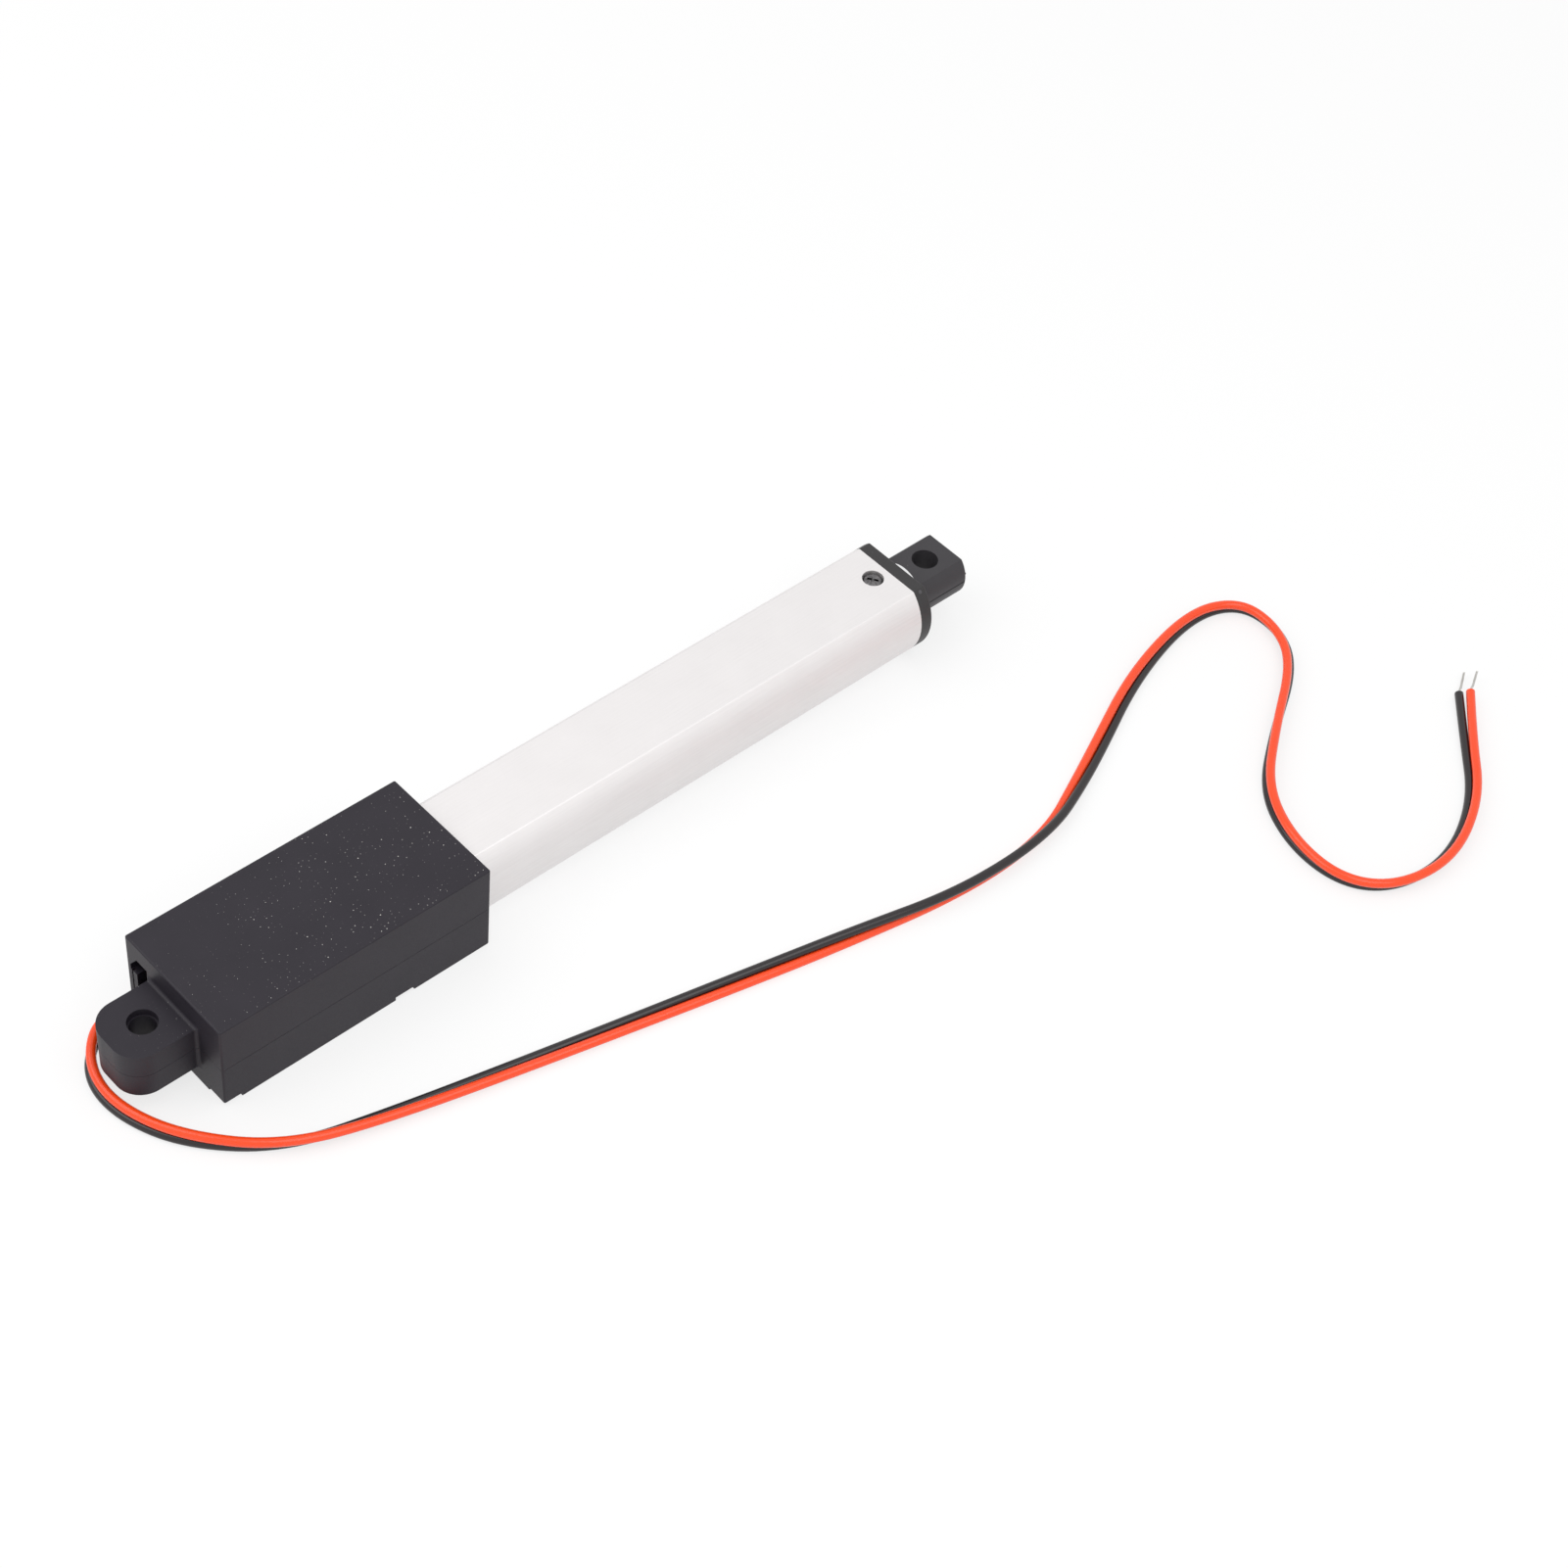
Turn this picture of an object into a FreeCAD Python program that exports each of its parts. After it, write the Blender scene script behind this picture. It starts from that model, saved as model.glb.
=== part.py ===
"""Micro linear actuator: one solid per piece, written to parts/NODE.step.

Frame: origin on the rear pivot axis at the actuator's mid-plane, +X towards the rod end, +Z up.
All lengths are millimetres. The rod is drawn fully retracted.
"""
import FreeCAD, Part
import math
import os

V = FreeCAD.Vector

# Driving dimensions: whole actuator
STROKE = 100.0
PIVOT_HOLE_D = 4.0

# Driving dimensions: housing
HOUSING_L = 47.6
HOUSING_SIDE = 2.05           # housing beside the tube
HOUSING_ROOF = 1.9            # housing above the tube
HOUSING_FLOOR = 1.5           # housing below the tube
HOUSING_EDGE_R = 0.3
REAR_FACE_X = 5.1
REAR_WALL = 1.7
SIDE_WALL = 1.5
TANG_W = 11.2
TANG_T = 8.4
TANG_END = 5.9                # behind the pivot axis
TANG_CORNER_R = 4.2
TANG_ROOT_R = 0.6
COUNTERBORE_D = 4.5
COUNTERBORE_DEPTH = 1.2
SEAM_WIDTH = 0.06
SEAM_DEPTH = 0.05
POCKET_DEPTH = 0.85
POCKET_LENGTH = 3.5
POCKET_INSET = 3.85           # from the housing's side inwards
CORNER_POCKET_LENGTH = 3.1

# Driving dimensions: tube, cap and rod
TUBE_WALL = 1.0
TUBE_EDGE_R = 0.4
TUBE_SEAT = 12.9              # length of tube held in the housing
CAP_T = 2.4
CAP_EDGE_R = 0.25
PLUG_L = 7.0
CAP_SCREW_SETBACK = 3.0       # behind the tube's front end
CAP_SCREW_HOLE_D = 3.6
CAP_SCREW_HEAD_D = 3.1
CAP_SCREW_HEAD_H = 0.8
CAP_SCREW_D = 1.6
BUSH_WALL = 0.65
PLUG_SKIN = 0.47              # plug above the bush
BUSH_L = 2.8
WIPER_WALL = 1.1
WIPER_L = 1.4
ROD_D = 9.0
ROD_BORE_D = 6.4
ROD_END_R = 5.25
ROD_END_T = 7.5
ROD_END_BACK = 4.75           # pivot axis to the rod end's rear face
ROD_END_FRONT = 5.0           # pivot axis to its front face
ROD_END_HOLE_D = 4.4
ROD_END_CHAMFER = 0.2
ROD_END_SEAM_W = 0.2
ROD_END_SEAM_D = 0.12
ROD_REACH = 2.1               # rod seen between the cap and the rod end
SPIGOT_L = 8.5

# Driving dimensions: screw drive
SCREW_D = 5.0
SCREW_END_GAP = 1.15          # between the screw and the rod end's spigot
NUT_L = 7.0
NUT_SPIGOT_L = 4.0
NUT_END_GAP = 0.75            # between nut and plug at full stroke
NUT_SWITCH_GAP = 0.1          # the nut is cut away beside the switches
BEARING_BORE_D = 4.0
BEARING_OD = 9.0
BEARING_W = 3.0
BALL_COUNT = 7
BALL_D = 1.3
RING_GAP = 0.7                # between the bearing's rings
GEAR_MODULE = 0.2
PINION_TEETH = 12
WHEEL_TEETH = 40
PRESSURE_ANGLE = 20.0
ADDENDUM = 0.78               # in modules, short so that the wheel clears the pinion's roots
DEDENDUM = 1.25
BACKLASH = 0.04               # taken off each tooth at the pitch circle
PINION_FACE = 1.8
WHEEL_FACE = 1.4
GEAR_GAP = 0.5                # between parts that turn at different speeds
PLATE_T = 0.8
POST_R = 0.8
SPINDLE_D = 0.8

# Driving dimensions: motor
MOTOR_D = 12.0
MOTOR_H = 10.0
CAN_L = 8.6
CAN_WALL = 0.5
BELL_L = 1.8
BELL_REAR_GAP = 0.8
SHAFT_D = 1.0
ROTOR_R = 3.7
ROTOR_L = 5.4
MAGNET_T = 1.2
MOTOR_BUSH_R = 2.0
MOTOR_BUSH_REACH = 0.6        # into the first gear plate
TERMINAL_Z = (2.0, -2.0)
TERMINAL_T = 0.3

# Driving dimensions: limit board and wires
BOARD_T = 0.6
BOARD_H = 5.8
BOARD_REAR_GAP = 3.2          # behind the board, to the bay's rear wall
BOARD_TUBE_GAP = 0.37         # board's corners to the tube
SWITCH_L = 3.4
SWITCH_T = 1.4
SWITCH_H = 3.0
BUTTON_T = 0.2
BUTTON_ROD_GAP = 0.6
DIODE_L = 2.6
DIODE_T = 0.9
DIODE_W = 1.4
WIRE_D = 1.5
WIRE_GAP = 0.06
TIP_D = 0.4
TIP_L = 4.0

# Driving dimensions: housing screws
SCREW_HEAD_D = 2.9
SCREW_HEAD_H = 0.75
HOUSING_SCREW_D = 1.7
HOUSING_SCREW_UP = 4.0        # reach above the mid-plane
SCREW_INSET = 1.95            # from the housing's side

# Fits
RUN_FIT = 0.03                # radial, between turning or sliding round pieces
SLIDE_FIT = 0.10              # drive nut in its channel
SEAT_FIT = 0.03               # pieces dropped into a seat
LIFT = 0.02                   # wires above the floor

# Derived sections, from the rod outwards
ROD_R = ROD_D / 2
BOARD_Y = ROD_R + BUTTON_ROD_GAP + BUTTON_T + SWITCH_T     # board's inner face
BORE_R = math.hypot(BOARD_Y + BOARD_T + BOARD_TUBE_GAP, BOARD_H / 2)
BORE_HALF_H = ROD_R + RUN_FIT + BUSH_WALL + PLUG_SKIN
TUBE_R = BORE_R + TUBE_WALL   # radius of the tube's curved sides
TUBE_HALF_H = BORE_HALF_H + TUBE_WALL
TUBE_H = 2 * TUBE_HALF_H      # across its flats
HALF_W = TUBE_R + HOUSING_SIDE
HOUSING_TOP = TUBE_HALF_H + HOUSING_ROOF
HOUSING_BOTTOM = TUBE_HALF_H + HOUSING_FLOOR               # below the mid-plane, also the floor level
BAY_HALF_H = TUBE_HALF_H
NUT_BOARD_SIDE = BOARD_Y - SWITCH_T - BUTTON_T - NUT_SWITCH_GAP

# Derived stations along X
HOUSING_FRONT_X = REAR_FACE_X + HOUSING_L
BAY_REAR_X = REAR_FACE_X + REAR_WALL
TUBE_REAR_X = HOUSING_FRONT_X - TUBE_SEAT
BELL_X = BAY_REAR_X + BELL_REAR_GAP
CAN_X = BELL_X + BELL_L
PLATE_REAR_X = CAN_X + CAN_L
STAGE1_X = PLATE_REAR_X + PLATE_T + GEAR_GAP
WHEEL1_X = STAGE1_X + (PINION_FACE - WHEEL_FACE) / 2
STAGE2_X = STAGE1_X + PINION_FACE
WHEEL2_X = STAGE2_X + GEAR_GAP
CLIP_X = WHEEL2_X + WHEEL_FACE
CLIP_T = 0.4
PLATE_FRONT_X = CLIP_X + CLIP_T + 0.3
BEARING_X = PLATE_FRONT_X + PLATE_T + 0.3
BEARING_FRONT_X = BEARING_X + BEARING_W
BULKHEAD_FRONT_X = BEARING_FRONT_X + 0.6
NUT_X = BULKHEAD_FRONT_X + 0.5
ROD_REAR_X = NUT_X + NUT_L
PLUG_REAR_X = ROD_REAR_X + STROKE + NUT_END_GAP
TUBE_FRONT_X = PLUG_REAR_X + PLUG_L
CAP_FRONT_X = TUBE_FRONT_X + CAP_T
ROD_FRONT_X = CAP_FRONT_X + ROD_REACH
PIVOT_SPAN = ROD_FRONT_X + ROD_END_BACK                    # rear pivot to rod pivot, retracted
SCREW_FRONT_X = ROD_FRONT_X - SPIGOT_L - SCREW_END_GAP
BOARD_REAR_X = BAY_REAR_X + BOARD_REAR_GAP
BOARD_FRONT_X = PLUG_REAR_X + 1.0
CAP_SCREW_X = TUBE_FRONT_X - CAP_SCREW_SETBACK

# Derived drive sizes
BALL_PITCH_R = (BEARING_BORE_D + BEARING_OD) / 4
GEAR_SEAT_R = BEARING_BORE_D / 2 - 0.5
CENTRE_DISTANCE = GEAR_MODULE * (PINION_TEETH + WHEEL_TEETH) / 2
IDLER_Y = -CENTRE_DISTANCE
POCKET_FLOOR_Z = -HOUSING_BOTTOM + POCKET_DEPTH

# Housing screws: near rear corner, far side beside the gears, and one each side of the tube's rear end
SCREW_Y = HALF_W - SCREW_INSET
NEAR_REAR_SCREW = (REAR_FACE_X + 1.65, -SCREW_Y)
FAR_REAR_SCREW = (PLATE_REAR_X + 2.5, SCREW_Y)
MID_SCREW_X = TUBE_REAR_X - 2.75
HOUSING_SCREWS = [NEAR_REAR_SCREW, FAR_REAR_SCREW, (MID_SCREW_X, -SCREW_Y), (MID_SCREW_X, SCREW_Y)]

# Gear plate posts, clear of both wheels
PLATE_FAR_Y = BOARD_Y - 0.4
PLATE_NEAR_Y = IDLER_Y - 1.8
POST_Z = BAY_HALF_H - POST_R - 0.65
GEAR_POSTS = [(PLATE_FAR_Y - POST_R - 0.1, 0.0), (IDLER_Y / 2, POST_Z), (IDLER_Y / 2, -POST_Z)]

# Route of the black wire, chosen by hand; the red wire runs the same way, one pitch above it
WIRE_PITCH = WIRE_D + WIRE_GAP
LAID_Z = -HOUSING_BOTTOM + WIRE_D / 2 + LIFT
WIRE_ROUTE = [
    (9.2, 7.7, -2.0), (5.0, 7.9, -3.2), (-1.6, 10.6, -6.2), (-7.1, 4.9, -7.1), (-7.4, -3.4, LAID_Z),
    (-3.1, -13.3, LAID_Z), (6.9, -22.9, LAID_Z), (22.0, -27.6, LAID_Z), (48.0, -33.8, LAID_Z),
    (82.0, -41.8, LAID_Z), (112.0, -48.7, LAID_Z), (133.2, -49.8, LAID_Z), (152.8, -41.3, LAID_Z),
    (170.0, -33.6, LAID_Z), (187.5, -29.7, LAID_Z), (196.8, -33.0, LAID_Z), (197.6, -41.1, LAID_Z),
    (192.8, -48.6, LAID_Z), (178.8, -56.8, LAID_Z), (167.8, -64.4, LAID_Z), (162.7, -74.5, LAID_Z),
    (162.7, -84.8, LAID_Z), (168.8, -91.1, LAID_Z), (180.5, -92.7, LAID_Z), (193.7, -87.4, LAID_Z),
    (203.6, -77.5, LAID_Z), (211.5, -70.4, LAID_Z),
]


def box(x0, x1, y0, y1, z0, z1):
    """Block between two corners."""
    return Part.makeBox(x1 - x0, y1 - y0, z1 - z0, V(x0, y0, z0))


def rod_x(x0, x1, r, y=0.0, z=0.0):
    """Round bar along X."""
    return Part.makeCylinder(r, x1 - x0, V(x0, y, z), V(1, 0, 0))


def rod_z(z0, z1, r, x=0.0, y=0.0):
    """Round bar along Z."""
    return Part.makeCylinder(r, z1 - z0, V(x, y, z0), V(0, 0, 1))


def ring_x(x0, x1, outer, inner, y=0.0):
    """Sleeve along X."""
    return rod_x(x0, x1, outer, y).cut(rod_x(x0 - 1, x1 + 1, inner, y))


def flatted(x0, x1, r, half_h):
    """Bar along X with round sides and flat top and bottom."""
    return rod_x(x0, x1, r).common(box(x0, x1, -r, r, -half_h, half_h))


def long_edges(shape):
    """Straight edges that run along X."""
    return [e for e in shape.Edges if e.BoundBox.YLength < 1e-6 and e.BoundBox.ZLength < 1e-6]


def front_edges(shape, x):
    """Edges that lie in the plane at x."""
    return [e for e in shape.Edges if abs(e.BoundBox.XMin - x) < 1e-6 and abs(e.BoundBox.XMax - x) < 1e-6]


def prism_x(x0, x1, outline):
    """Prism along X from (y, z) corners."""
    points = [V(x0, y, z) for y, z in outline]
    return Part.Face(Part.makePolygon(points + points[:1])).extrude(V(x1 - x0, 0, 0))


def fuse_all(shapes):
    """One shape from several that touch or overlap."""
    return shapes[0].fuse(shapes[1:]).removeSplitter()


def export(node, shape):
    """Write one node and report what it holds."""
    shape.exportStep(os.path.join("parts", node + ".step"))
    print("%-22s solids %d volume %.2f valid %s" % (node, len(shape.Solids), shape.Volume, shape.isValid()))


def tang_face(shrink=0.0):
    """Plan of the tang: straight sides and a rounded end, optionally drawn in."""
    half = TANG_W / 2 - shrink
    end = -TANG_END + shrink
    r = TANG_CORNER_R - shrink
    k = r * (1 - math.sqrt(0.5))
    inside = REAR_FACE_X + REAR_WALL
    a, b = V(inside, half, 0), V(end + r, half, 0)
    c, d = V(end, half - r, 0), V(end, r - half, 0)
    e, f = V(end + r, -half, 0), V(inside, -half, 0)
    edges = [
        Part.LineSegment(a, b).toShape(),
        Part.Arc(b, V(end + k, half - k, 0), c).toShape(),
        Part.LineSegment(c, d).toShape(),
        Part.Arc(d, V(end + k, k - half, 0), e).toShape(),
        Part.LineSegment(e, f).toShape(),
        Part.LineSegment(f, a).toShape(),
    ]
    return Part.Face(Part.Wire(edges))


def housing_outside():
    """Closed outside of both housing halves, before hollowing."""
    block = box(REAR_FACE_X, HOUSING_FRONT_X, -HALF_W, HALF_W, -HOUSING_BOTTOM, HOUSING_TOP)
    block = block.makeFillet(HOUSING_EDGE_R, block.Edges)
    tang = tang_face()
    tang.translate(V(0, 0, -TANG_T / 2))
    body = fuse_all([block, tang.extrude(V(0, 0, TANG_T))])
    root = [e for e in front_edges(body, REAR_FACE_X) if e.BoundBox.YMax < TANG_W / 2 + 1e-3
            and e.BoundBox.YMin > -TANG_W / 2 - 1e-3 and abs(e.BoundBox.ZMax) < TANG_T / 2 + 1e-3]
    return body.makeFillet(TANG_ROOT_R, root)


def wire_opening():
    """Opening beside the tang with a sloped upper corner, and the narrow groove in the wall next to it."""
    near = TANG_W / 2 + 0.6
    far = HALF_W - 0.85
    inner = far - 1.5
    low = -TANG_T / 2 - 0.2
    top = HOUSING_TOP - 3.15
    step = top - 3.4
    outline = [(near, low), (inner, low), (inner, step), (far, step), (far, step + 1.0),
               (inner - 0.2, top), (near, top)]
    hole = prism_x(REAR_FACE_X - 1, BAY_REAR_X + 0.1, outline)
    groove = box(REAR_FACE_X - 1, REAR_FACE_X + 0.5, far - 0.55, far - 0.25, low, step + 0.1)
    return hole.fuse(groove)


def motor_bay():
    """Hollow for motor and gears, less the screw bosses and the ribs that hold the motor."""
    bay_half_w = HALF_W - SIDE_WALL
    bay = box(BAY_REAR_X, BEARING_X - 0.2, -bay_half_w, bay_half_w, -BAY_HALF_H, BAY_HALF_H)
    x, y = NEAR_REAR_SCREW
    corner = box(REAR_FACE_X, x + 2.1, -HALF_W, y + 2.1, -BAY_HALF_H, BAY_HALF_H)
    x, y = FAR_REAR_SCREW
    boss = box(x - 1.8, x + 1.8, y - 1.8, HALF_W, -BAY_HALF_H, BAY_HALF_H)
    rib_x0 = CAN_X + 2.0
    rib_x1 = CAN_X + CAN_L - 2.0
    top_rib = box(rib_x0, rib_x1, -4, 4, MOTOR_H / 2, BAY_HALF_H)
    low_rib = box(rib_x0, rib_x1, -4, 4, -BAY_HALF_H, -MOTOR_H / 2)
    return bay.cut([corner, boss, top_rib, low_rib])


def housing_hollow():
    """Everything taken out of the housing halves."""
    seat = rod_x(BEARING_X - 1, BEARING_FRONT_X, BEARING_OD / 2 + SEAT_FIT)
    lip = rod_x(BEARING_FRONT_X - 0.1, BULKHEAD_FRONT_X + 0.1, BEARING_OD / 2 - 0.8)
    half_h = BOARD_H / 2 + SEAT_FIT
    far_y = BOARD_Y + BOARD_T + SEAT_FIT
    slot = box(BEARING_X - 1, BULKHEAD_FRONT_X + 0.1, BOARD_Y - SEAT_FIT, far_y, -half_h, half_h)
    channel = flatted(BULKHEAD_FRONT_X, TUBE_REAR_X + 0.1, BORE_R, BORE_HALF_H)
    socket = flatted(TUBE_REAR_X, HOUSING_FRONT_X + 1, TUBE_R + SEAT_FIT, TUBE_HALF_H + SEAT_FIT)
    pivot = rod_z(-TANG_T, TANG_T, PIVOT_HOLE_D / 2)
    bore_end = TANG_T / 2 - COUNTERBORE_DEPTH
    top_step = rod_z(bore_end, TANG_T, COUNTERBORE_D / 2)
    low_step = rod_z(-TANG_T, -bore_end, COUNTERBORE_D / 2)
    return [motor_bay(), wire_opening(), seat, lip, slot, channel, socket, pivot, top_step, low_step]


def seam_groove():
    """Fine groove round the outside where the two halves meet."""
    z = SEAM_WIDTH / 2
    d = SEAM_DEPTH
    outer = box(REAR_FACE_X - 1, HOUSING_FRONT_X + 1, -HALF_W - 1, HALF_W + 1, -z, z)
    inner = box(REAR_FACE_X + d, HOUSING_FRONT_X - d, d - HALF_W, HALF_W - d, -z, z)
    tang = tang_face(d)
    tang.translate(V(0, 0, -z))
    behind = box(-TANG_END - 1, REAR_FACE_X - 1, -HALF_W, HALF_W, -z, z)
    return outer.fuse(behind).cut([inner, tang.extrude(V(0, 0, 2 * z))])


def screw_pockets():
    """Shallow pockets under the lower half, open to its sides, one for each housing screw."""
    z0 = -HOUSING_BOTTOM - 1
    out = []
    for x, y in HOUSING_SCREWS:
        half = POCKET_LENGTH / 2
        x0, x1 = x - half, x + half
        if (x, y) == NEAR_REAR_SCREW:
            x0, x1 = REAR_FACE_X - 1, REAR_FACE_X + CORNER_POCKET_LENGTH
        y0, y1 = (HALF_W - POCKET_INSET, HALF_W + 1) if y > 0 else (-HALF_W - 1, POCKET_INSET - HALF_W)
        out.append(box(x0, x1, y0, y1, z0, POCKET_FLOOR_Z))
    return out


def housing_halves():
    """Upper and lower housing, met at the mid-plane."""
    hole_r = HOUSING_SCREW_D / 2 + SEAT_FIT
    holes = [rod_z(-HOUSING_BOTTOM - 1, HOUSING_SCREW_UP + 0.3, hole_r, x, y) for x, y in HOUSING_SCREWS]
    body = housing_outside().cut(housing_hollow() + holes + [seam_groove()])
    big = 100.0
    upper = body.common(box(-big, big, -big, big, 0, big))
    lower = body.common(box(-big, big, -big, big, -big, 0)).cut(screw_pockets())
    return upper, lower


def housing_screws():
    """The four small screws that hold the halves together, heads down."""
    out = []
    for x, y in HOUSING_SCREWS:
        head = rod_z(POCKET_FLOOR_Z - SCREW_HEAD_H, POCKET_FLOOR_Z, SCREW_HEAD_D / 2, x, y)
        shank = rod_z(POCKET_FLOOR_Z, HOUSING_SCREW_UP, HOUSING_SCREW_D / 2, x, y)
        out.append(head.fuse(shank).removeSplitter())
    return Part.makeCompound(out)


def outer_tube():
    """Flat-sided tube with a hole for each cap screw."""
    outside = flatted(TUBE_REAR_X, TUBE_FRONT_X, TUBE_R, TUBE_HALF_H)
    outside = outside.makeFillet(TUBE_EDGE_R, long_edges(outside))
    inside = flatted(TUBE_REAR_X - 1, TUBE_FRONT_X + 1, BORE_R, BORE_HALF_H)
    hole = rod_z(-TUBE_H, TUBE_H, CAP_SCREW_HOLE_D / 2, CAP_SCREW_X)
    return outside.cut([inside, hole])


def front_cap():
    """Cap plate with the plug behind it, bored for rod, bush, wiper, screws and the board's end."""
    plate = flatted(TUBE_FRONT_X, CAP_FRONT_X, TUBE_R, TUBE_HALF_H)
    plate = plate.makeFillet(TUBE_EDGE_R, long_edges(plate))
    plate = plate.makeFillet(CAP_EDGE_R, front_edges(plate, CAP_FRONT_X))
    plug = flatted(PLUG_REAR_X, TUBE_FRONT_X, BORE_R - SEAT_FIT, BORE_HALF_H - SEAT_FIT)
    bore = rod_x(PLUG_REAR_X - 1, CAP_FRONT_X + 1, ROD_R + 0.15)
    bush_seat = rod_x(PLUG_REAR_X - 1, PLUG_REAR_X + BUSH_L, ROD_R + RUN_FIT + BUSH_WALL + SEAT_FIT)
    wiper_seat = rod_x(CAP_FRONT_X - WIPER_L, CAP_FRONT_X + 1, ROD_R + RUN_FIT + WIPER_WALL + SEAT_FIT)
    screw_hole = rod_z(-TUBE_H, TUBE_H, CAP_SCREW_D / 2 + SEAT_FIT, CAP_SCREW_X)
    half_h = BOARD_H / 2 + SEAT_FIT
    far_y = BOARD_Y + BOARD_T + SEAT_FIT
    slot = box(PLUG_REAR_X - 1, BOARD_FRONT_X, BOARD_Y - SEAT_FIT, far_y, -half_h, half_h)
    return plate.fuse(plug).removeSplitter().cut([bore, bush_seat, wiper_seat, screw_hole, slot])


def cap_screws():
    """Two short screws through the tube's flats into the plug."""
    seat_z = BORE_HALF_H - SEAT_FIT
    tip_z = ROD_R + 0.3
    top = rod_z(seat_z, seat_z + CAP_SCREW_HEAD_H, CAP_SCREW_HEAD_D / 2, CAP_SCREW_X)
    top = top.fuse(rod_z(tip_z, seat_z, CAP_SCREW_D / 2, CAP_SCREW_X)).removeSplitter()
    return Part.makeCompound([top, top.mirror(V(0, 0, 0), V(0, 0, 1))])


def push_rod():
    """Hollow rod from the nut to the rod end."""
    return ring_x(ROD_REAR_X, ROD_FRONT_X, ROD_R, ROD_BORE_D / 2)


def rod_end():
    """Round eye with flat top and bottom, a fine mould seam and a spigot in the rod."""
    front = PIVOT_SPAN + ROD_END_FRONT
    eye = flatted(ROD_FRONT_X, front, ROD_END_R, ROD_END_T / 2)
    eye = eye.makeChamfer(ROD_END_CHAMFER, front_edges(eye, front))
    d = ROD_END_SEAM_D
    z = ROD_END_SEAM_W / 2
    band = box(ROD_FRONT_X - 1, front + 1, -TUBE_R, TUBE_R, -z, z)
    core = rod_x(ROD_FRONT_X - 1, front - d, ROD_END_R - d)
    eye = eye.cut(band.cut(core))
    spigot = rod_x(ROD_FRONT_X - SPIGOT_L, ROD_FRONT_X, ROD_BORE_D / 2 - SEAT_FIT)
    hole = rod_z(-ROD_END_T, ROD_END_T, ROD_END_HOLE_D / 2, PIVOT_SPAN)
    return eye.fuse(spigot).removeSplitter().cut(hole)


def drive_nut():
    """Nut that slides in the channel, cut away beside the board, with a spigot in the rod."""
    body = flatted(NUT_X, ROD_REAR_X, BORE_R - SLIDE_FIT, BORE_HALF_H - SLIDE_FIT)
    body = body.cut(box(NUT_X - 1, ROD_REAR_X + 1, NUT_BOARD_SIDE, TUBE_R, -TUBE_H, TUBE_H))
    spigot = rod_x(ROD_REAR_X, ROD_REAR_X + NUT_SPIGOT_L, ROD_BORE_D / 2 - SEAT_FIT)
    return body.fuse(spigot).removeSplitter().cut(rod_x(NUT_X - 1, SCREW_FRONT_X, SCREW_D / 2 + RUN_FIT))


def lead_screw():
    """Screw with a gear seat, a bearing journal and its threaded length as a plain bar."""
    gear_seat = rod_x(WHEEL2_X, BEARING_X - 0.1, GEAR_SEAT_R)
    journal = rod_x(BEARING_X - 0.1, BEARING_FRONT_X, BEARING_BORE_D / 2)
    thread = rod_x(BEARING_FRONT_X, SCREW_FRONT_X, SCREW_D / 2)
    thread = thread.makeChamfer(0.5, front_edges(thread, SCREW_FRONT_X))
    return fuse_all([gear_seat, journal, thread])


def involute(base_r, r):
    """Angle swept by an involute from its base circle out to radius r."""
    t = math.sqrt(max((r / base_r) ** 2 - 1, 0.0))
    return t - math.atan(t)


def polar(x, r, angle):
    """Point on a gear's end face."""
    return V(x, r * math.cos(angle), r * math.sin(angle))


def gear(x0, x1, teeth, turned, y=0.0):
    """Spur gear along X with involute flanks; turned is the angle of its first tooth from +Y."""
    pitch_r = GEAR_MODULE * teeth / 2
    base_r = pitch_r * math.cos(math.radians(PRESSURE_ANGLE))
    tip_r = pitch_r + ADDENDUM * GEAR_MODULE
    root_r = pitch_r - DEDENDUM * GEAR_MODULE
    start_r = max(base_r, root_r)
    half_tooth = (math.pi * GEAR_MODULE / 2 - BACKLASH) / (2 * pitch_r)
    at_base = half_tooth + involute(base_r, pitch_r)
    pitch = 2 * math.pi / teeth
    radii = (start_r, (start_r + tip_r) / 2, tip_r)
    edges = []
    for i in range(teeth):
        mid = turned + i * pitch
        rise = [polar(x0, r, mid - at_base + involute(base_r, r)) for r in radii]
        fall = [polar(x0, r, mid + at_base - involute(base_r, r)) for r in reversed(radii)]
        foot = polar(x0, root_r, mid - at_base)
        heel = polar(x0, root_r, mid + at_base)
        following = polar(x0, root_r, mid + pitch - at_base)
        for flank in (rise, fall):
            edges.append(Part.Arc(*flank).toShape())
        edges.append(Part.Arc(rise[-1], polar(x0, tip_r, mid), fall[0]).toShape())
        edges.append(Part.Arc(heel, polar(x0, root_r, mid + pitch / 2), following).toShape())
        if start_r - root_r > 1e-6:
            edges.append(Part.LineSegment(foot, rise[0]).toShape())
            edges.append(Part.LineSegment(fall[-1], heel).toShape())
    wire = Part.Wire(Part.__sortEdges__(edges))
    solid = Part.Face(wire).extrude(V(x1 - x0, 0, 0))
    solid.translate(V(0, y, 0))
    return solid


def motor_pinion():
    """Pinion on the motor shaft, with a tooth space facing the wheel."""
    turned = math.pi + math.pi / PINION_TEETH
    return gear(STAGE1_X, STAGE2_X, PINION_TEETH, turned).cut(rod_x(STAGE1_X - 1, STAGE2_X + 1, SHAFT_D / 2))


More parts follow.
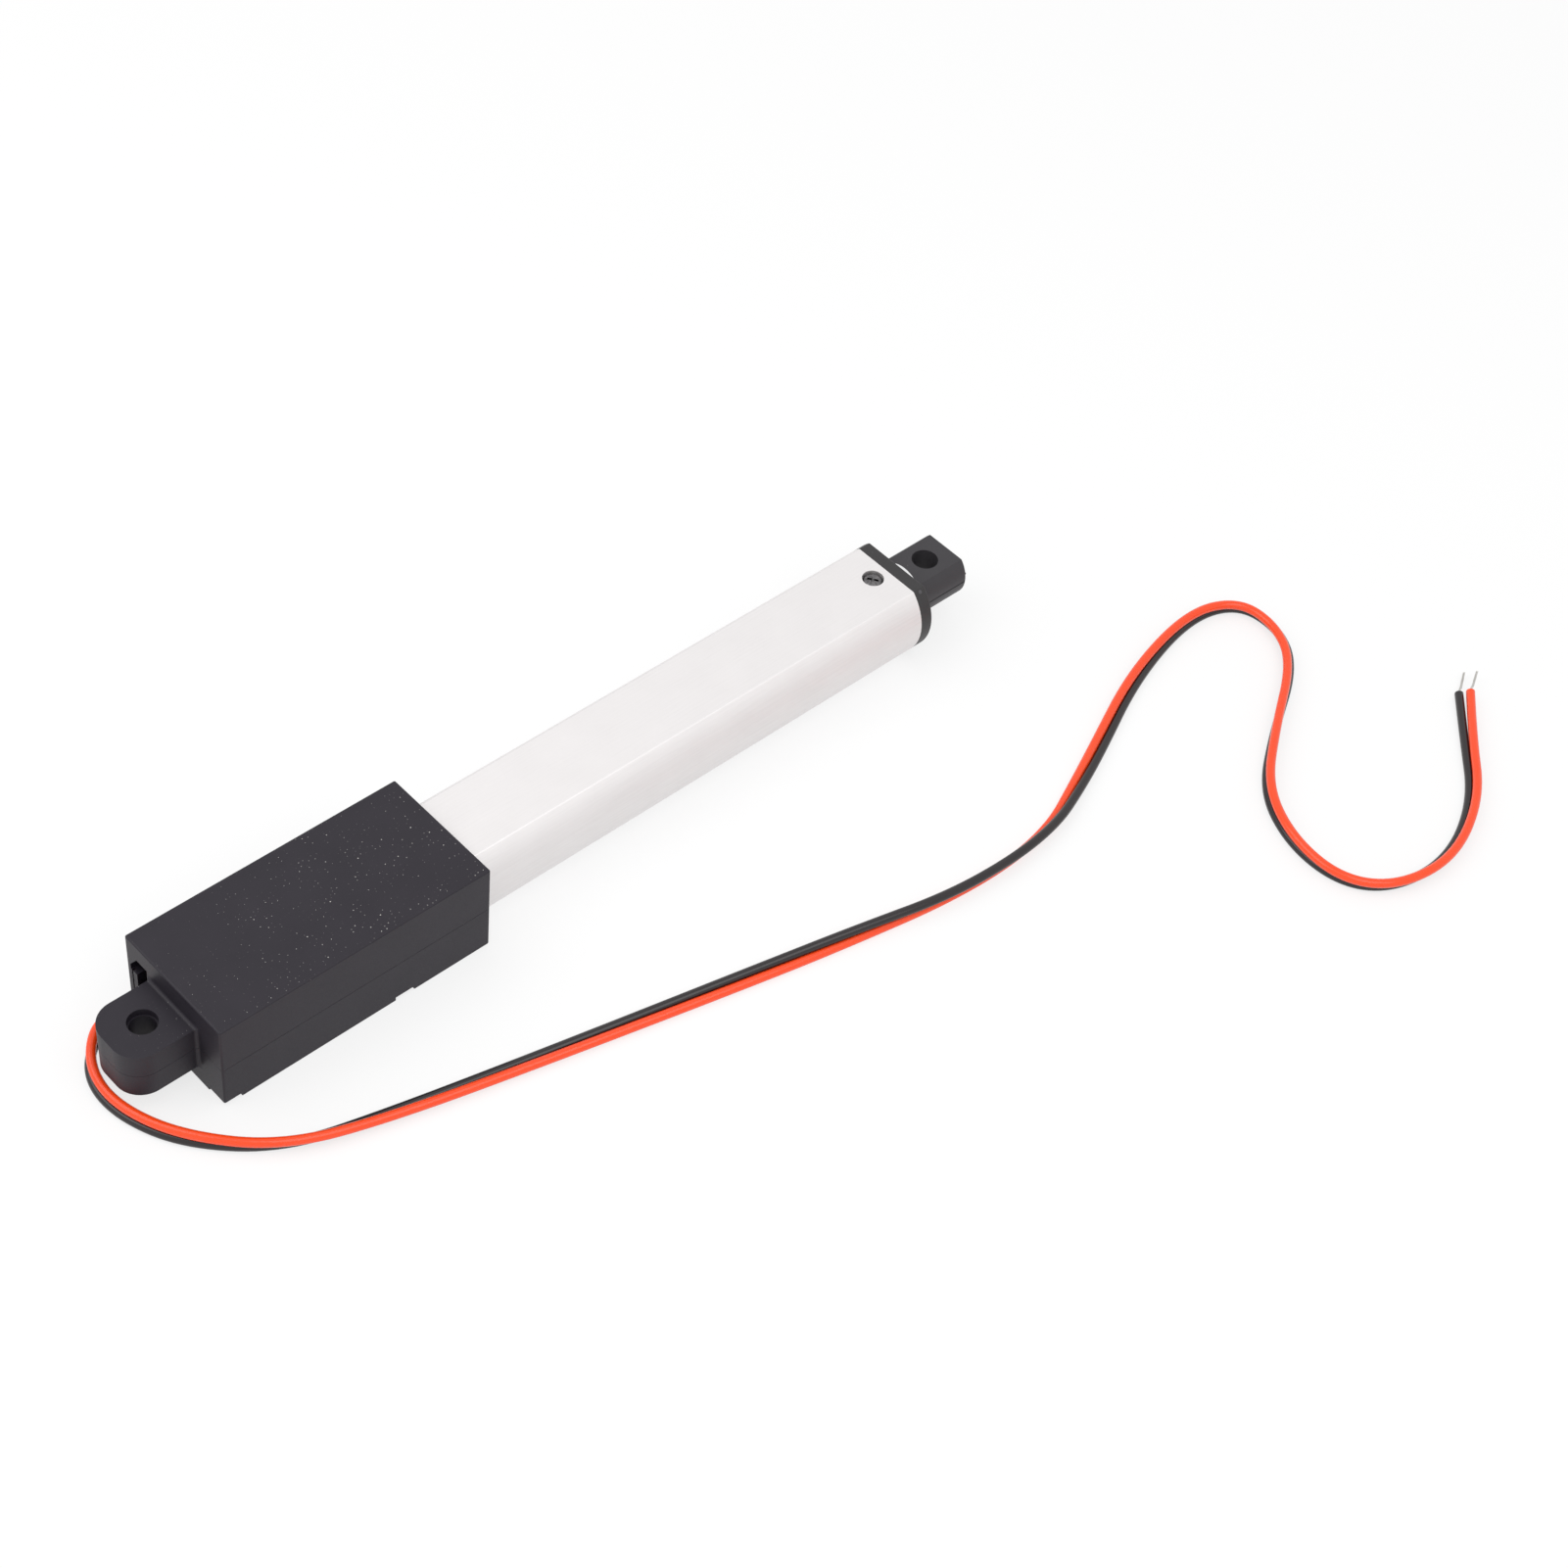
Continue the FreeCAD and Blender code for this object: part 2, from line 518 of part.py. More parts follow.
def compound_gear():
    """Wheel of the first stage with the pinion of the second on one hub."""
    pinion_end = CLIP_X + 0.2
    wheel = gear(WHEEL1_X, WHEEL1_X + WHEEL_FACE, WHEEL_TEETH, 0.0, IDLER_Y)
    pinion = gear(WHEEL1_X + WHEEL_FACE, pinion_end, PINION_TEETH, 0.0, IDLER_Y)
    bore = rod_x(WHEEL1_X - 1, pinion_end + 1, SPINDLE_D / 2 + RUN_FIT, IDLER_Y)
    return wheel.fuse(pinion).removeSplitter().cut(bore)


def output_gear():
    """Wheel of the second stage on the lead screw, with a tooth space facing the pinion."""
    turned = math.pi + math.pi / WHEEL_TEETH
    blank = gear(WHEEL2_X, CLIP_X, WHEEL_TEETH, turned)
    return blank.cut(rod_x(WHEEL2_X - 1, CLIP_X + 1, GEAR_SEAT_R))


def gear_plate(x, centre_hole_r):
    """Plate across the bay, with holes for the centre shaft, the spindle and the posts."""
    plate = box(x, x + PLATE_T, PLATE_NEAR_Y, PLATE_FAR_Y, -BAY_HALF_H, BAY_HALF_H)
    plate = plate.makeFillet(1.5, long_edges(plate))
    holes = [rod_x(x - 1, x + 2, centre_hole_r), rod_x(x - 1, x + 2, SPINDLE_D / 2, IDLER_Y)]
    return plate.cut(holes)


def gear_posts():
    """Posts that hold the gear plates apart."""
    x0 = PLATE_REAR_X + PLATE_T
    return Part.makeCompound([rod_x(x0, PLATE_FRONT_X, POST_R, y, z) for y, z in GEAR_POSTS])


def race_ring(inner_r, outer_r):
    """Bearing ring with a groove for the balls."""
    ring = ring_x(BEARING_X, BEARING_FRONT_X, outer_r, inner_r)
    groove = Part.makeTorus(BALL_PITCH_R, BALL_D / 2 + 0.05, V(BEARING_X + BEARING_W / 2, 0, 0), V(1, 0, 0))
    return ring.cut(groove)


def bearing_balls():
    """Balls between the two rings."""
    x = BEARING_X + BEARING_W / 2
    balls = []
    for k in range(BALL_COUNT):
        p = polar(x, BALL_PITCH_R, 2 * math.pi * k / BALL_COUNT)
        balls.append(Part.makeSphere(BALL_D / 2, p))
    return Part.makeCompound(balls)


def motor_can():
    """Flat-sided steel can, open at the rear, with a hole for the front bush."""
    outside = flatted(CAN_X, PLATE_REAR_X, MOTOR_D / 2, MOTOR_H / 2)
    inside = flatted(CAN_X - 1, PLATE_REAR_X - CAN_WALL, MOTOR_D / 2 - CAN_WALL, MOTOR_H / 2 - CAN_WALL)
    return outside.cut([inside, rod_x(CAN_X, PLATE_REAR_X + 1, MOTOR_BUSH_R)])


def motor_end_bell():
    """Plastic rear of the motor, with the shaft's rear bearing hole."""
    bell = flatted(BELL_X, CAN_X, MOTOR_D / 2, MOTOR_H / 2)
    bell = bell.cut(rod_x(BELL_X + 0.5, CAN_X + 1, SHAFT_D / 2 + RUN_FIT))
    return bell.cut([terminal(z) for z in TERMINAL_Z])


def terminal(z):
    """One bent brass strip from the end bell to the limit board's inner face."""
    x = BELL_X + 0.4
    half = TERMINAL_T / 2
    across = box(x, x + 1.0, 3.6, BOARD_Y, z - half, z + half)
    along = box(x, BOARD_REAR_X + 1.2, BOARD_Y - TERMINAL_T, BOARD_Y, z - half, z + half)
    return across.fuse(along).removeSplitter()


def motor_magnets():
    """Two curved magnets on the can's round sides."""
    outer_r = MOTOR_D / 2 - CAN_WALL
    shell = ring_x(CAN_X + 1.0, PLATE_REAR_X - 1.2, outer_r, outer_r - MAGNET_T)
    half_h = 3.2
    far = shell.common(box(CAN_X, PLATE_REAR_X, 0.5, outer_r, -half_h, half_h))
    near = shell.common(box(CAN_X, PLATE_REAR_X, -outer_r, -0.5, -half_h, half_h))
    return Part.makeCompound([far, near])


def motor_rotor():
    """Three-pole armature with its commutator."""
    x0 = CAN_X + 1.6
    core = rod_x(x0, x0 + ROTOR_L, ROTOR_R)
    slots = []
    for k in range(3):
        slot = box(x0 - 1, x0 + ROTOR_L + 1, 1.4, ROTOR_R + 1, -0.5, 0.5)
        slot.rotate(V(0, 0, 0), V(1, 0, 0), 60 + 120 * k)
        slots.append(slot)
    commutator = rod_x(CAN_X + 0.2, x0, 1.3)
    return fuse_all([core.cut(slots), commutator]).cut(rod_x(CAN_X - 1, PLATE_REAR_X, SHAFT_D / 2))


def limit_board():
    """Narrow circuit board along the far side of the channel."""
    half_h = BOARD_H / 2
    board = box(BOARD_REAR_X, BOARD_FRONT_X, BOARD_Y, BOARD_Y + BOARD_T, -half_h, half_h)
    return board


def limit_switch(x):
    """Small switch on the board with a round button that faces the nut."""
    half_h = SWITCH_H / 2
    face_y = BOARD_Y - SWITCH_T
    block = box(x, x + SWITCH_L, face_y, BOARD_Y, -half_h, half_h)
    button = Part.makeCylinder(0.5, BUTTON_T, V(x + SWITCH_L / 2, face_y - BUTTON_T, 0), V(0, 1, 0))
    return block.fuse(button).removeSplitter()


def board_diodes():
    """Two diodes that let the motor run back from each limit."""
    x = BOARD_REAR_X + 4.2
    y = BOARD_Y + BOARD_T
    half = DIODE_W / 2
    pitch = BOARD_H / 2 - half - 0.6
    blocks = [box(x, x + DIODE_L, y, y + DIODE_T, z - half, z + half) for z in (pitch, -pitch)]
    return Part.makeCompound(blocks)


def wire_path(lift):
    """Straight runs joined by tangent arcs along the route, raised by lift; prints each bend's radius."""
    points = [V(x, y, z + lift) for x, y, z in WIRE_ROUTE]
    edges, here, radii = [], points[0], []
    for before, corner, after in zip(points, points[1:], points[2:]):
        run_in, run_out = corner - before, after - corner
        half_turn = run_in.getAngle(run_out) / 2
        cut = 0.45 * min(run_in.Length, run_out.Length)
        radii.append(cut / math.tan(half_turn))
        u, w = V(run_in).normalize(), V(run_out).normalize()
        start, end = corner - u * cut, corner + w * cut
        bisector = V(w - u).normalize()
        centre = corner + bisector * (radii[-1] / math.cos(half_turn))
        middle = centre - bisector * radii[-1]
        edges.append(Part.LineSegment(here, start).toShape())
        edges.append(Part.Arc(start, middle, end).toShape())
        here = end
    edges.append(Part.LineSegment(here, points[-1]).toShape())
    print("wire bend radii", " ".join("%.1f" % r for r in radii))
    return Part.Wire(edges)


def wire(lift):
    """Round insulation swept along the route."""
    path = wire_path(lift)
    start = path.Edges[0].Vertexes[0].Point
    along = path.Edges[0].tangentAt(path.Edges[0].FirstParameter)
    section = Part.Wire(Part.makeCircle(WIRE_D / 2, start, along))
    tube = path.makePipeShell([section], True, False)
    print("wire length %.1f tube volume / section x length %.4f"
          % (path.Length, tube.Volume / (math.pi * WIRE_D ** 2 / 4 * path.Length)))
    return tube


def wire_tip(lift):
    """Bare strands past the end of one wire."""
    before, last = (V(*p) + V(0, 0, lift) for p in WIRE_ROUTE[-2:])
    return Part.makeCylinder(TIP_D / 2, TIP_L, last, last - before)


def main():
    """Build and write every node."""
    os.makedirs("parts", exist_ok=True)
    upper, lower = housing_halves()
    ring_inner = BALL_PITCH_R - RING_GAP / 2
    ring_outer = BALL_PITCH_R + RING_GAP / 2
    wiper_r = ROD_R + RUN_FIT
    nodes = {
        "upper_housing": upper,
        "lower_housing": lower,
        "housing_screws": housing_screws(),
        "outer_tube": outer_tube(),
        "front_cap": front_cap(),
        "cap_screws": cap_screws(),
        "rod_bush": ring_x(PLUG_REAR_X, PLUG_REAR_X + BUSH_L, wiper_r + BUSH_WALL, wiper_r),
        "rod_wiper": ring_x(CAP_FRONT_X - WIPER_L, CAP_FRONT_X - 0.2, wiper_r + WIPER_WALL, wiper_r),
        "push_rod": push_rod(),
        "rod_end": rod_end(),
        "drive_nut": drive_nut(),
        "lead_screw": lead_screw(),
        "output_gear": output_gear(),
        "screw_clip": ring_x(CLIP_X, CLIP_X + CLIP_T, GEAR_SEAT_R + 0.8, GEAR_SEAT_R),
        "compound_gear": compound_gear(),
        "idler_spindle": rod_x(PLATE_REAR_X, PLATE_FRONT_X + PLATE_T, SPINDLE_D / 2, IDLER_Y),
        "gear_plate_rear": gear_plate(PLATE_REAR_X, MOTOR_BUSH_R),
        "gear_plate_front": gear_plate(PLATE_FRONT_X, BEARING_BORE_D / 2 + 0.4),
        "gear_posts": gear_posts(),
        "bearing_outer_ring": race_ring(ring_outer, BEARING_OD / 2),
        "bearing_inner_ring": race_ring(BEARING_BORE_D / 2, ring_inner),
        "bearing_balls": bearing_balls(),
        "motor_can": motor_can(),
        "motor_end_bell": motor_end_bell(),
        "motor_terminals": Part.makeCompound([terminal(z) for z in TERMINAL_Z]),
        "motor_magnets": motor_magnets(),
        "motor_bush": ring_x(PLATE_REAR_X - 1.0, PLATE_REAR_X + MOTOR_BUSH_REACH, MOTOR_BUSH_R, SHAFT_D / 2 + RUN_FIT),
        "motor_shaft": rod_x(BELL_X + 0.6, STAGE2_X, SHAFT_D / 2),
        "motor_rotor": motor_rotor(),
        "motor_pinion": motor_pinion(),
        "limit_board": limit_board(),
        "rear_limit_switch": limit_switch(NUT_X + 1.4),
        "front_limit_switch": limit_switch(NUT_X + STROKE + 1.4),
        "board_diodes": board_diodes(),
        "black_wire": wire(0.0),
        "red_wire": wire(WIRE_PITCH),
        "wire_tips": Part.makeCompound([wire_tip(0.0), wire_tip(WIRE_PITCH)]),
    }
    for node, shape in nodes.items():
        export(node, shape)


main()
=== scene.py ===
"""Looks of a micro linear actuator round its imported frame: finishes, fasteners, leads, light and camera."""
import logging
import math
from dataclasses import dataclass
from enum import Enum
from typing import ClassVar

import bmesh
import bpy
from mathutils import Matrix, Vector


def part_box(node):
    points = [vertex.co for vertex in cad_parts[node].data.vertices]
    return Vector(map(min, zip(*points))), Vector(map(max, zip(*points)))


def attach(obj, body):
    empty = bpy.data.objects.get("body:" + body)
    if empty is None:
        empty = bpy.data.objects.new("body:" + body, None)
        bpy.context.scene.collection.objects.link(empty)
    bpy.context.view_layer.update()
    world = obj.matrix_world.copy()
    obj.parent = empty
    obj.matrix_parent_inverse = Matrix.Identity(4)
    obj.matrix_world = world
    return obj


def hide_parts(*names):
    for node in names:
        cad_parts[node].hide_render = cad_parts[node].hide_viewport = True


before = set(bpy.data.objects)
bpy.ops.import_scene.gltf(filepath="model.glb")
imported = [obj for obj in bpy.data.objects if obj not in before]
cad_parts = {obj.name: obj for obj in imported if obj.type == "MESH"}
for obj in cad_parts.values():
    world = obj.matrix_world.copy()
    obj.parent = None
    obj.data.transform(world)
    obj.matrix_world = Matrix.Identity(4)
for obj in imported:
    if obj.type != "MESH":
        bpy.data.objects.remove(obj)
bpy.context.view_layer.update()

log = logging.getLogger("actuator")
MM = 0.001
SAME_SPOT = 1e-7
Span = tuple[float, float]
Point = tuple[float, float, float]
Colour = tuple[float, ...]
Ring = list[bmesh.types.BMVert]
Socket = bpy.types.NodeSocket
Value = Socket | float | Colour
WHITE = (1.0, 1.0, 1.0, 1.0)


def mm(x: float, y: float, z: float) -> Vector:
    """Point in metres from millimetres."""
    return Vector((x, y, z)) * MM


def polar(x: float, r: float, a: float) -> Vector:
    """Point in metres at a radius and an angle round the X axis, from millimetres."""
    return mm(x, r * math.cos(a), r * math.sin(a))


def turns(count: int) -> list[float]:
    """Equal angles round a circle."""
    return [k / count * math.tau for k in range(count)]


def opaque(colour: Point) -> Colour:
    """Colour with full cover."""
    return (*colour, 1.0)


def put_in_scene(name: str, data: bpy.types.ID) -> bpy.types.Object:
    """Make an object and link it to the scene.

    Args:
        name: Name of the object.
        data: Its mesh, curve, lamp or camera.

    Returns:
        The object.
    """
    made = bpy.data.objects.new(name, data)
    bpy.context.scene.collection.objects.link(made)
    return made


def solids_of(node: str) -> list[tuple[Vector, Vector]]:
    """Find the boxes of a node's separate solids.

    Args:
        node: Name of the node.

    Returns:
        Lowest and highest corner of each solid in millimetres, in order along X, Y and Z.
    """
    build = bmesh.new()
    build.from_mesh(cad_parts[node].data)
    bmesh.ops.remove_doubles(build, verts=build.verts, dist=SAME_SPOT)
    left = set(build.verts)
    boxes = []
    while left:
        reached = [left.pop()]
        points = []
        while reached:
            vert = reached.pop()
            points.append(vert.co / MM)
            beside = {edge.other_vert(vert) for edge in vert.link_edges} & left
            left -= beside
            reached.extend(beside)
        axes = list(zip(*points))
        boxes.append((Vector([min(axis) for axis in axes]), Vector([max(axis) for axis in axes])))
    build.free()
    return sorted(boxes, key=lambda corners: tuple(round(value, 3) for value in corners[0]))


def box_of(node: str) -> tuple[Vector, Vector]:
    """Lowest and highest corner of a node in millimetres."""
    low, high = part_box(node)
    return low / MM, high / MM


class Graph:
    """A node tree in the making."""

    def __init__(self, tree: bpy.types.NodeTree) -> None:
        """Work on a tree."""
        self.tree = tree

    def feed(self, target: Socket, value: Value) -> None:
        """Link an input to a socket, or set it to a constant.

        Args:
            target: The input.
            value: A socket, a number or a colour.
        """
        if isinstance(value, Socket):
            self.tree.links.new(value, target)
        else:
            target.default_value = value

    def add(self, kind: str, inputs: dict[str | int, Value], **options: str) -> bpy.types.NodeOutputs:
        """Add a shader node.

        Args:
            kind: Its kind.
            inputs: What goes into it, by the name or the number of each input.
            options: Its settings.

        Returns:
            Its outputs.
        """
        made = self.tree.nodes.new("ShaderNode" + kind)
        for name, option in options.items():
            setattr(made, name, option)
        for name, value in inputs.items():
            self.feed(made.inputs[name], value)
        return made.outputs

    def axes(self, vector: Socket) -> bpy.types.NodeOutputs:
        """Sockets X, Y and Z of a vector."""
        return self.add("SeparateXYZ", {"Vector": vector})

    def math(self, operation: str, first: Socket, second: Socket | float) -> Socket:
        """Result of an operation on two values."""
        return self.add("Math", {0: first, 1: second}, operation=operation)["Value"]

    def spread(self, value: Socket, ends: Span, onto: Span = (0.0, 1.0), steps: str = "LINEAR") -> Socket:
        """Value mapped from one range onto another and held at its ends."""
        limits = dict(zip(("From Min", "From Max", "To Min", "To Max"), ends + onto))
        return self.add("MapRange", {"Value": value, **limits}, interpolation_type=steps)["Result"]

    def noise(self, place: Socket, scale: float, detail: float, rough: float = 0.5) -> Socket:
        """Cloudy noise, by its clouds in a unit of length, its octaves and the weight of the finer ones."""
        inputs = {"Vector": place, "Scale": scale, "Detail": detail, "Roughness": rough}
        return self.add("TexNoise", inputs)["Fac"]

    def blend(self, share: Socket, under: Socket | Colour, over: Colour) -> Socket:
        """Mix of two colours, with a share of the second one."""
        return self.add("Mix", {"Factor": share, "A": under, "B": over}, data_type="RGBA")["Result"]

    def seen(self) -> Socket:
        """Tell the eye, mirrors and glass from other light.

        Returns:
            One where the eye, a mirror or glass looks, and nothing for other light.
        """
        path = self.add("LightPath", {})
        clear = self.math("MAXIMUM", path["Is Camera Ray"], path["Is Glossy Ray"])
        return self.math("MAXIMUM", clear, path["Is Transmission Ray"])

    def close(self, share: Socket, first: Socket, second: Socket, output: str) -> None:
        """Mix two shaders into an output, with a share of the second one."""
        mixed = self.add("MixShader", {0: share, 1: first, 2: second})["Shader"]
        self.add(output, {"Surface": mixed})


@dataclass(frozen=True)
class Dust:
    """Pale specks on what faces up, thicker in patches and towards the near side and the front.

    Attributes:
        cells: Cells in a metre, each with room for one speck.
        largest: Radius of the largest speck, in cells.
        patches: Patches in a metre.
        patch_detail: Octaves of the patches.
        patch_ends: Values of the patch noise where the specks are smallest and full.
        patch_sizes: Size of the specks there, as a share.
        near_ends: Places across the housing, in metres, from scant to full.
        near_sizes: Size of the specks there, as a share.
        front_ends: Places along the housing, in metres, from scant to full.
        front_sizes: Size of the specks there, as a share.
        upward: Upward parts of the normal where the dust sets in and is full.
        skew: Power that makes the palest specks rare.
        cover: Cover of the faintest and of the palest speck.
        colour: Of the dust, linear.
    """

    cells: float = 1250.0
    largest: float = 0.13
    patches: float = 95.0
    patch_detail: float = 2.0
    patch_ends: Span = (0.36, 0.58)
    patch_sizes: Span = (0.45, 1.0)
    near_ends: Span = (10.0 * MM, -6.0 * MM)
    near_sizes: Span = (0.68, 1.0)
    front_ends: Span = (8.0 * MM, 40.0 * MM)
    front_sizes: Span = (0.55, 1.2)
    upward: Span = (0.3, 0.8)
    skew: float = 2.2
    cover: Span = (0.06, 0.9)
    colour: Point = (0.62, 0.6, 0.57)

    def lay(self, graph: Graph, place: Socket, under: Socket, share: float) -> Socket:
        """Lay the dust on a colour.

        Args:
            graph: Node tree of the material.
            place: Its coordinates.
            under: Colour below the dust.
            share: Share of the cells that hold a speck.

        Returns:
            The colour with dust on it.
        """
        inputs = {"Vector": place, "Scale": self.cells}
        cells = graph.add("TexVoronoi", inputs, voronoi_dimensions="2D")
        chance = graph.add("SeparateColor", {"Color": cells["Color"]})
        size = graph.spread(chance["Red"], (1.0 - share, 1.0), (0.0, self.largest))
        axes = graph.axes(place)
        patch = graph.noise(place, self.patches, self.patch_detail)
        for value, ends, sizes in ((patch, self.patch_ends, self.patch_sizes),
                                   (axes["Y"], self.near_ends, self.near_sizes),
                                   (axes["X"], self.front_ends, self.front_sizes)):
            size = graph.math("MULTIPLY", size, graph.spread(value, ends, sizes))
        speck = graph.math("LESS_THAN", cells["Distance"], size)
        normal = graph.axes(graph.add("NewGeometry", {})["Normal"])
        pale = graph.math("POWER", chance["Green"], self.skew)
        speck = graph.math("MULTIPLY", speck, graph.spread(normal["Z"], self.upward))
        speck = graph.math("MULTIPLY", speck, graph.spread(pale, (0.0, 1.0), self.cover))
        return graph.blend(speck, under, opaque(self.colour))


class Grain(Enum):
    """Which way a finish's fine texture runs."""

    EVEN = (1.0, 1.0, 1.0)
    ALONG_X = (0.04, 1.0, 1.0)
    ROUND_X = (1.0, 0.12, 0.12)
    ACROSS_X = (1.0, 0.06, 1.0)


@dataclass(frozen=True)
class Finish:
    """A procedural surface: two close colours, a fine grain and, where asked, settled dust.

    Attributes:
        name: Name of the material, unlike any that the frame brings along.
        colour: Main colour, linear.
        tint: Second colour that the grain brings in, linear.
        metallic: Share of metal.
        rough: Lowest and highest roughness.
        grain_mm: Size of the grain.
        grain: Direction of the grain.
        bump_mm: Height of the grain.
        specular: Level of the clear reflection.
        dust: Share of the surface cells that hold a speck.
        coat: Weight of a clear coat.
        grain_detail: Octaves of the grain and the weight of its finer ones.
        grain_ends: Values of the grain between which the roughness moves.
        cloud: Broad clouds in a metre, and their octaves.
        cloud_ends: Values of cloud times grain between which the colours blend.
        bump_strength: Share of the grain's height that shows.
    """

    name: str
    colour: Point
    tint: Point
    metallic: float = 0.0
    rough: Span = (0.45, 0.55)
    grain_mm: float = 0.3
    grain: Grain = Grain.EVEN
    bump_mm: float = 0.01
    specular: float = 0.5
    dust: float = 0.0
    coat: float = 0.0
    grain_detail: ClassVar[Span] = (4.0, 0.6)
    grain_ends: ClassVar[Span] = (0.3, 0.7)
    cloud: ClassVar[Span] = (160.0, 3.0)
    cloud_ends: ClassVar[Span] = (0.1, 0.42)
    bump_strength: ClassVar[float] = 0.35

    def material(self) -> bpy.types.Material:
        """Make the material, or find it if it is made.

        Returns:
            The material with its node tree.
        """
        found = bpy.data.materials.get(self.name)
        if found:
            return found
        made = bpy.data.materials.new(self.name)
        made.use_nodes = True
        graph = Graph(made.node_tree)
        place = graph.add("TexCoord", {})["Object"]
        scale = [1.0 / (self.grain_mm * MM) * share for share in self.grain.value]
        stretched = graph.add("Mapping", {"Vector": place, "Scale": scale})["Vector"]
        grain = graph.noise(stretched, 1.0, *self.grain_detail)
        height = {"Strength": self.bump_strength, "Distance": self.bump_mm * MM, "Height": grain}
        looks = {
            "Metallic": self.metallic,
            "Specular IOR Level": self.specular,
            "Coat Weight": self.coat,
            "Base Color": self._colour(graph, place, grain),
            "Roughness": graph.spread(grain, self.grain_ends, self.rough),
            "Normal": graph.add("Bump", height)["Normal"],
        }
        shader = made.node_tree.nodes["Principled BSDF"].inputs
        for name, value in looks.items():
            graph.feed(shader[name], value)
        return made

    def _colour(self, graph: Graph, place: Socket, grain: Socket) -> Socket:
        """Blend the two colours by a broad cloud and the grain, and lay the dust on top.

        Args:
            graph: Node tree of the material.
            place: Its coordinates.
            grain: Its grain.

        Returns:
            The colour.
        """
        cloud = graph.math("MULTIPLY", grain, graph.noise(place, *self.cloud))
        share = graph.spread(cloud, self.cloud_ends)
        colour = graph.blend(share, opaque(self.colour), opaque(self.tint))
        return Dust().lay(graph, place, colour, self.dust) if self.dust > 0.0 else colour


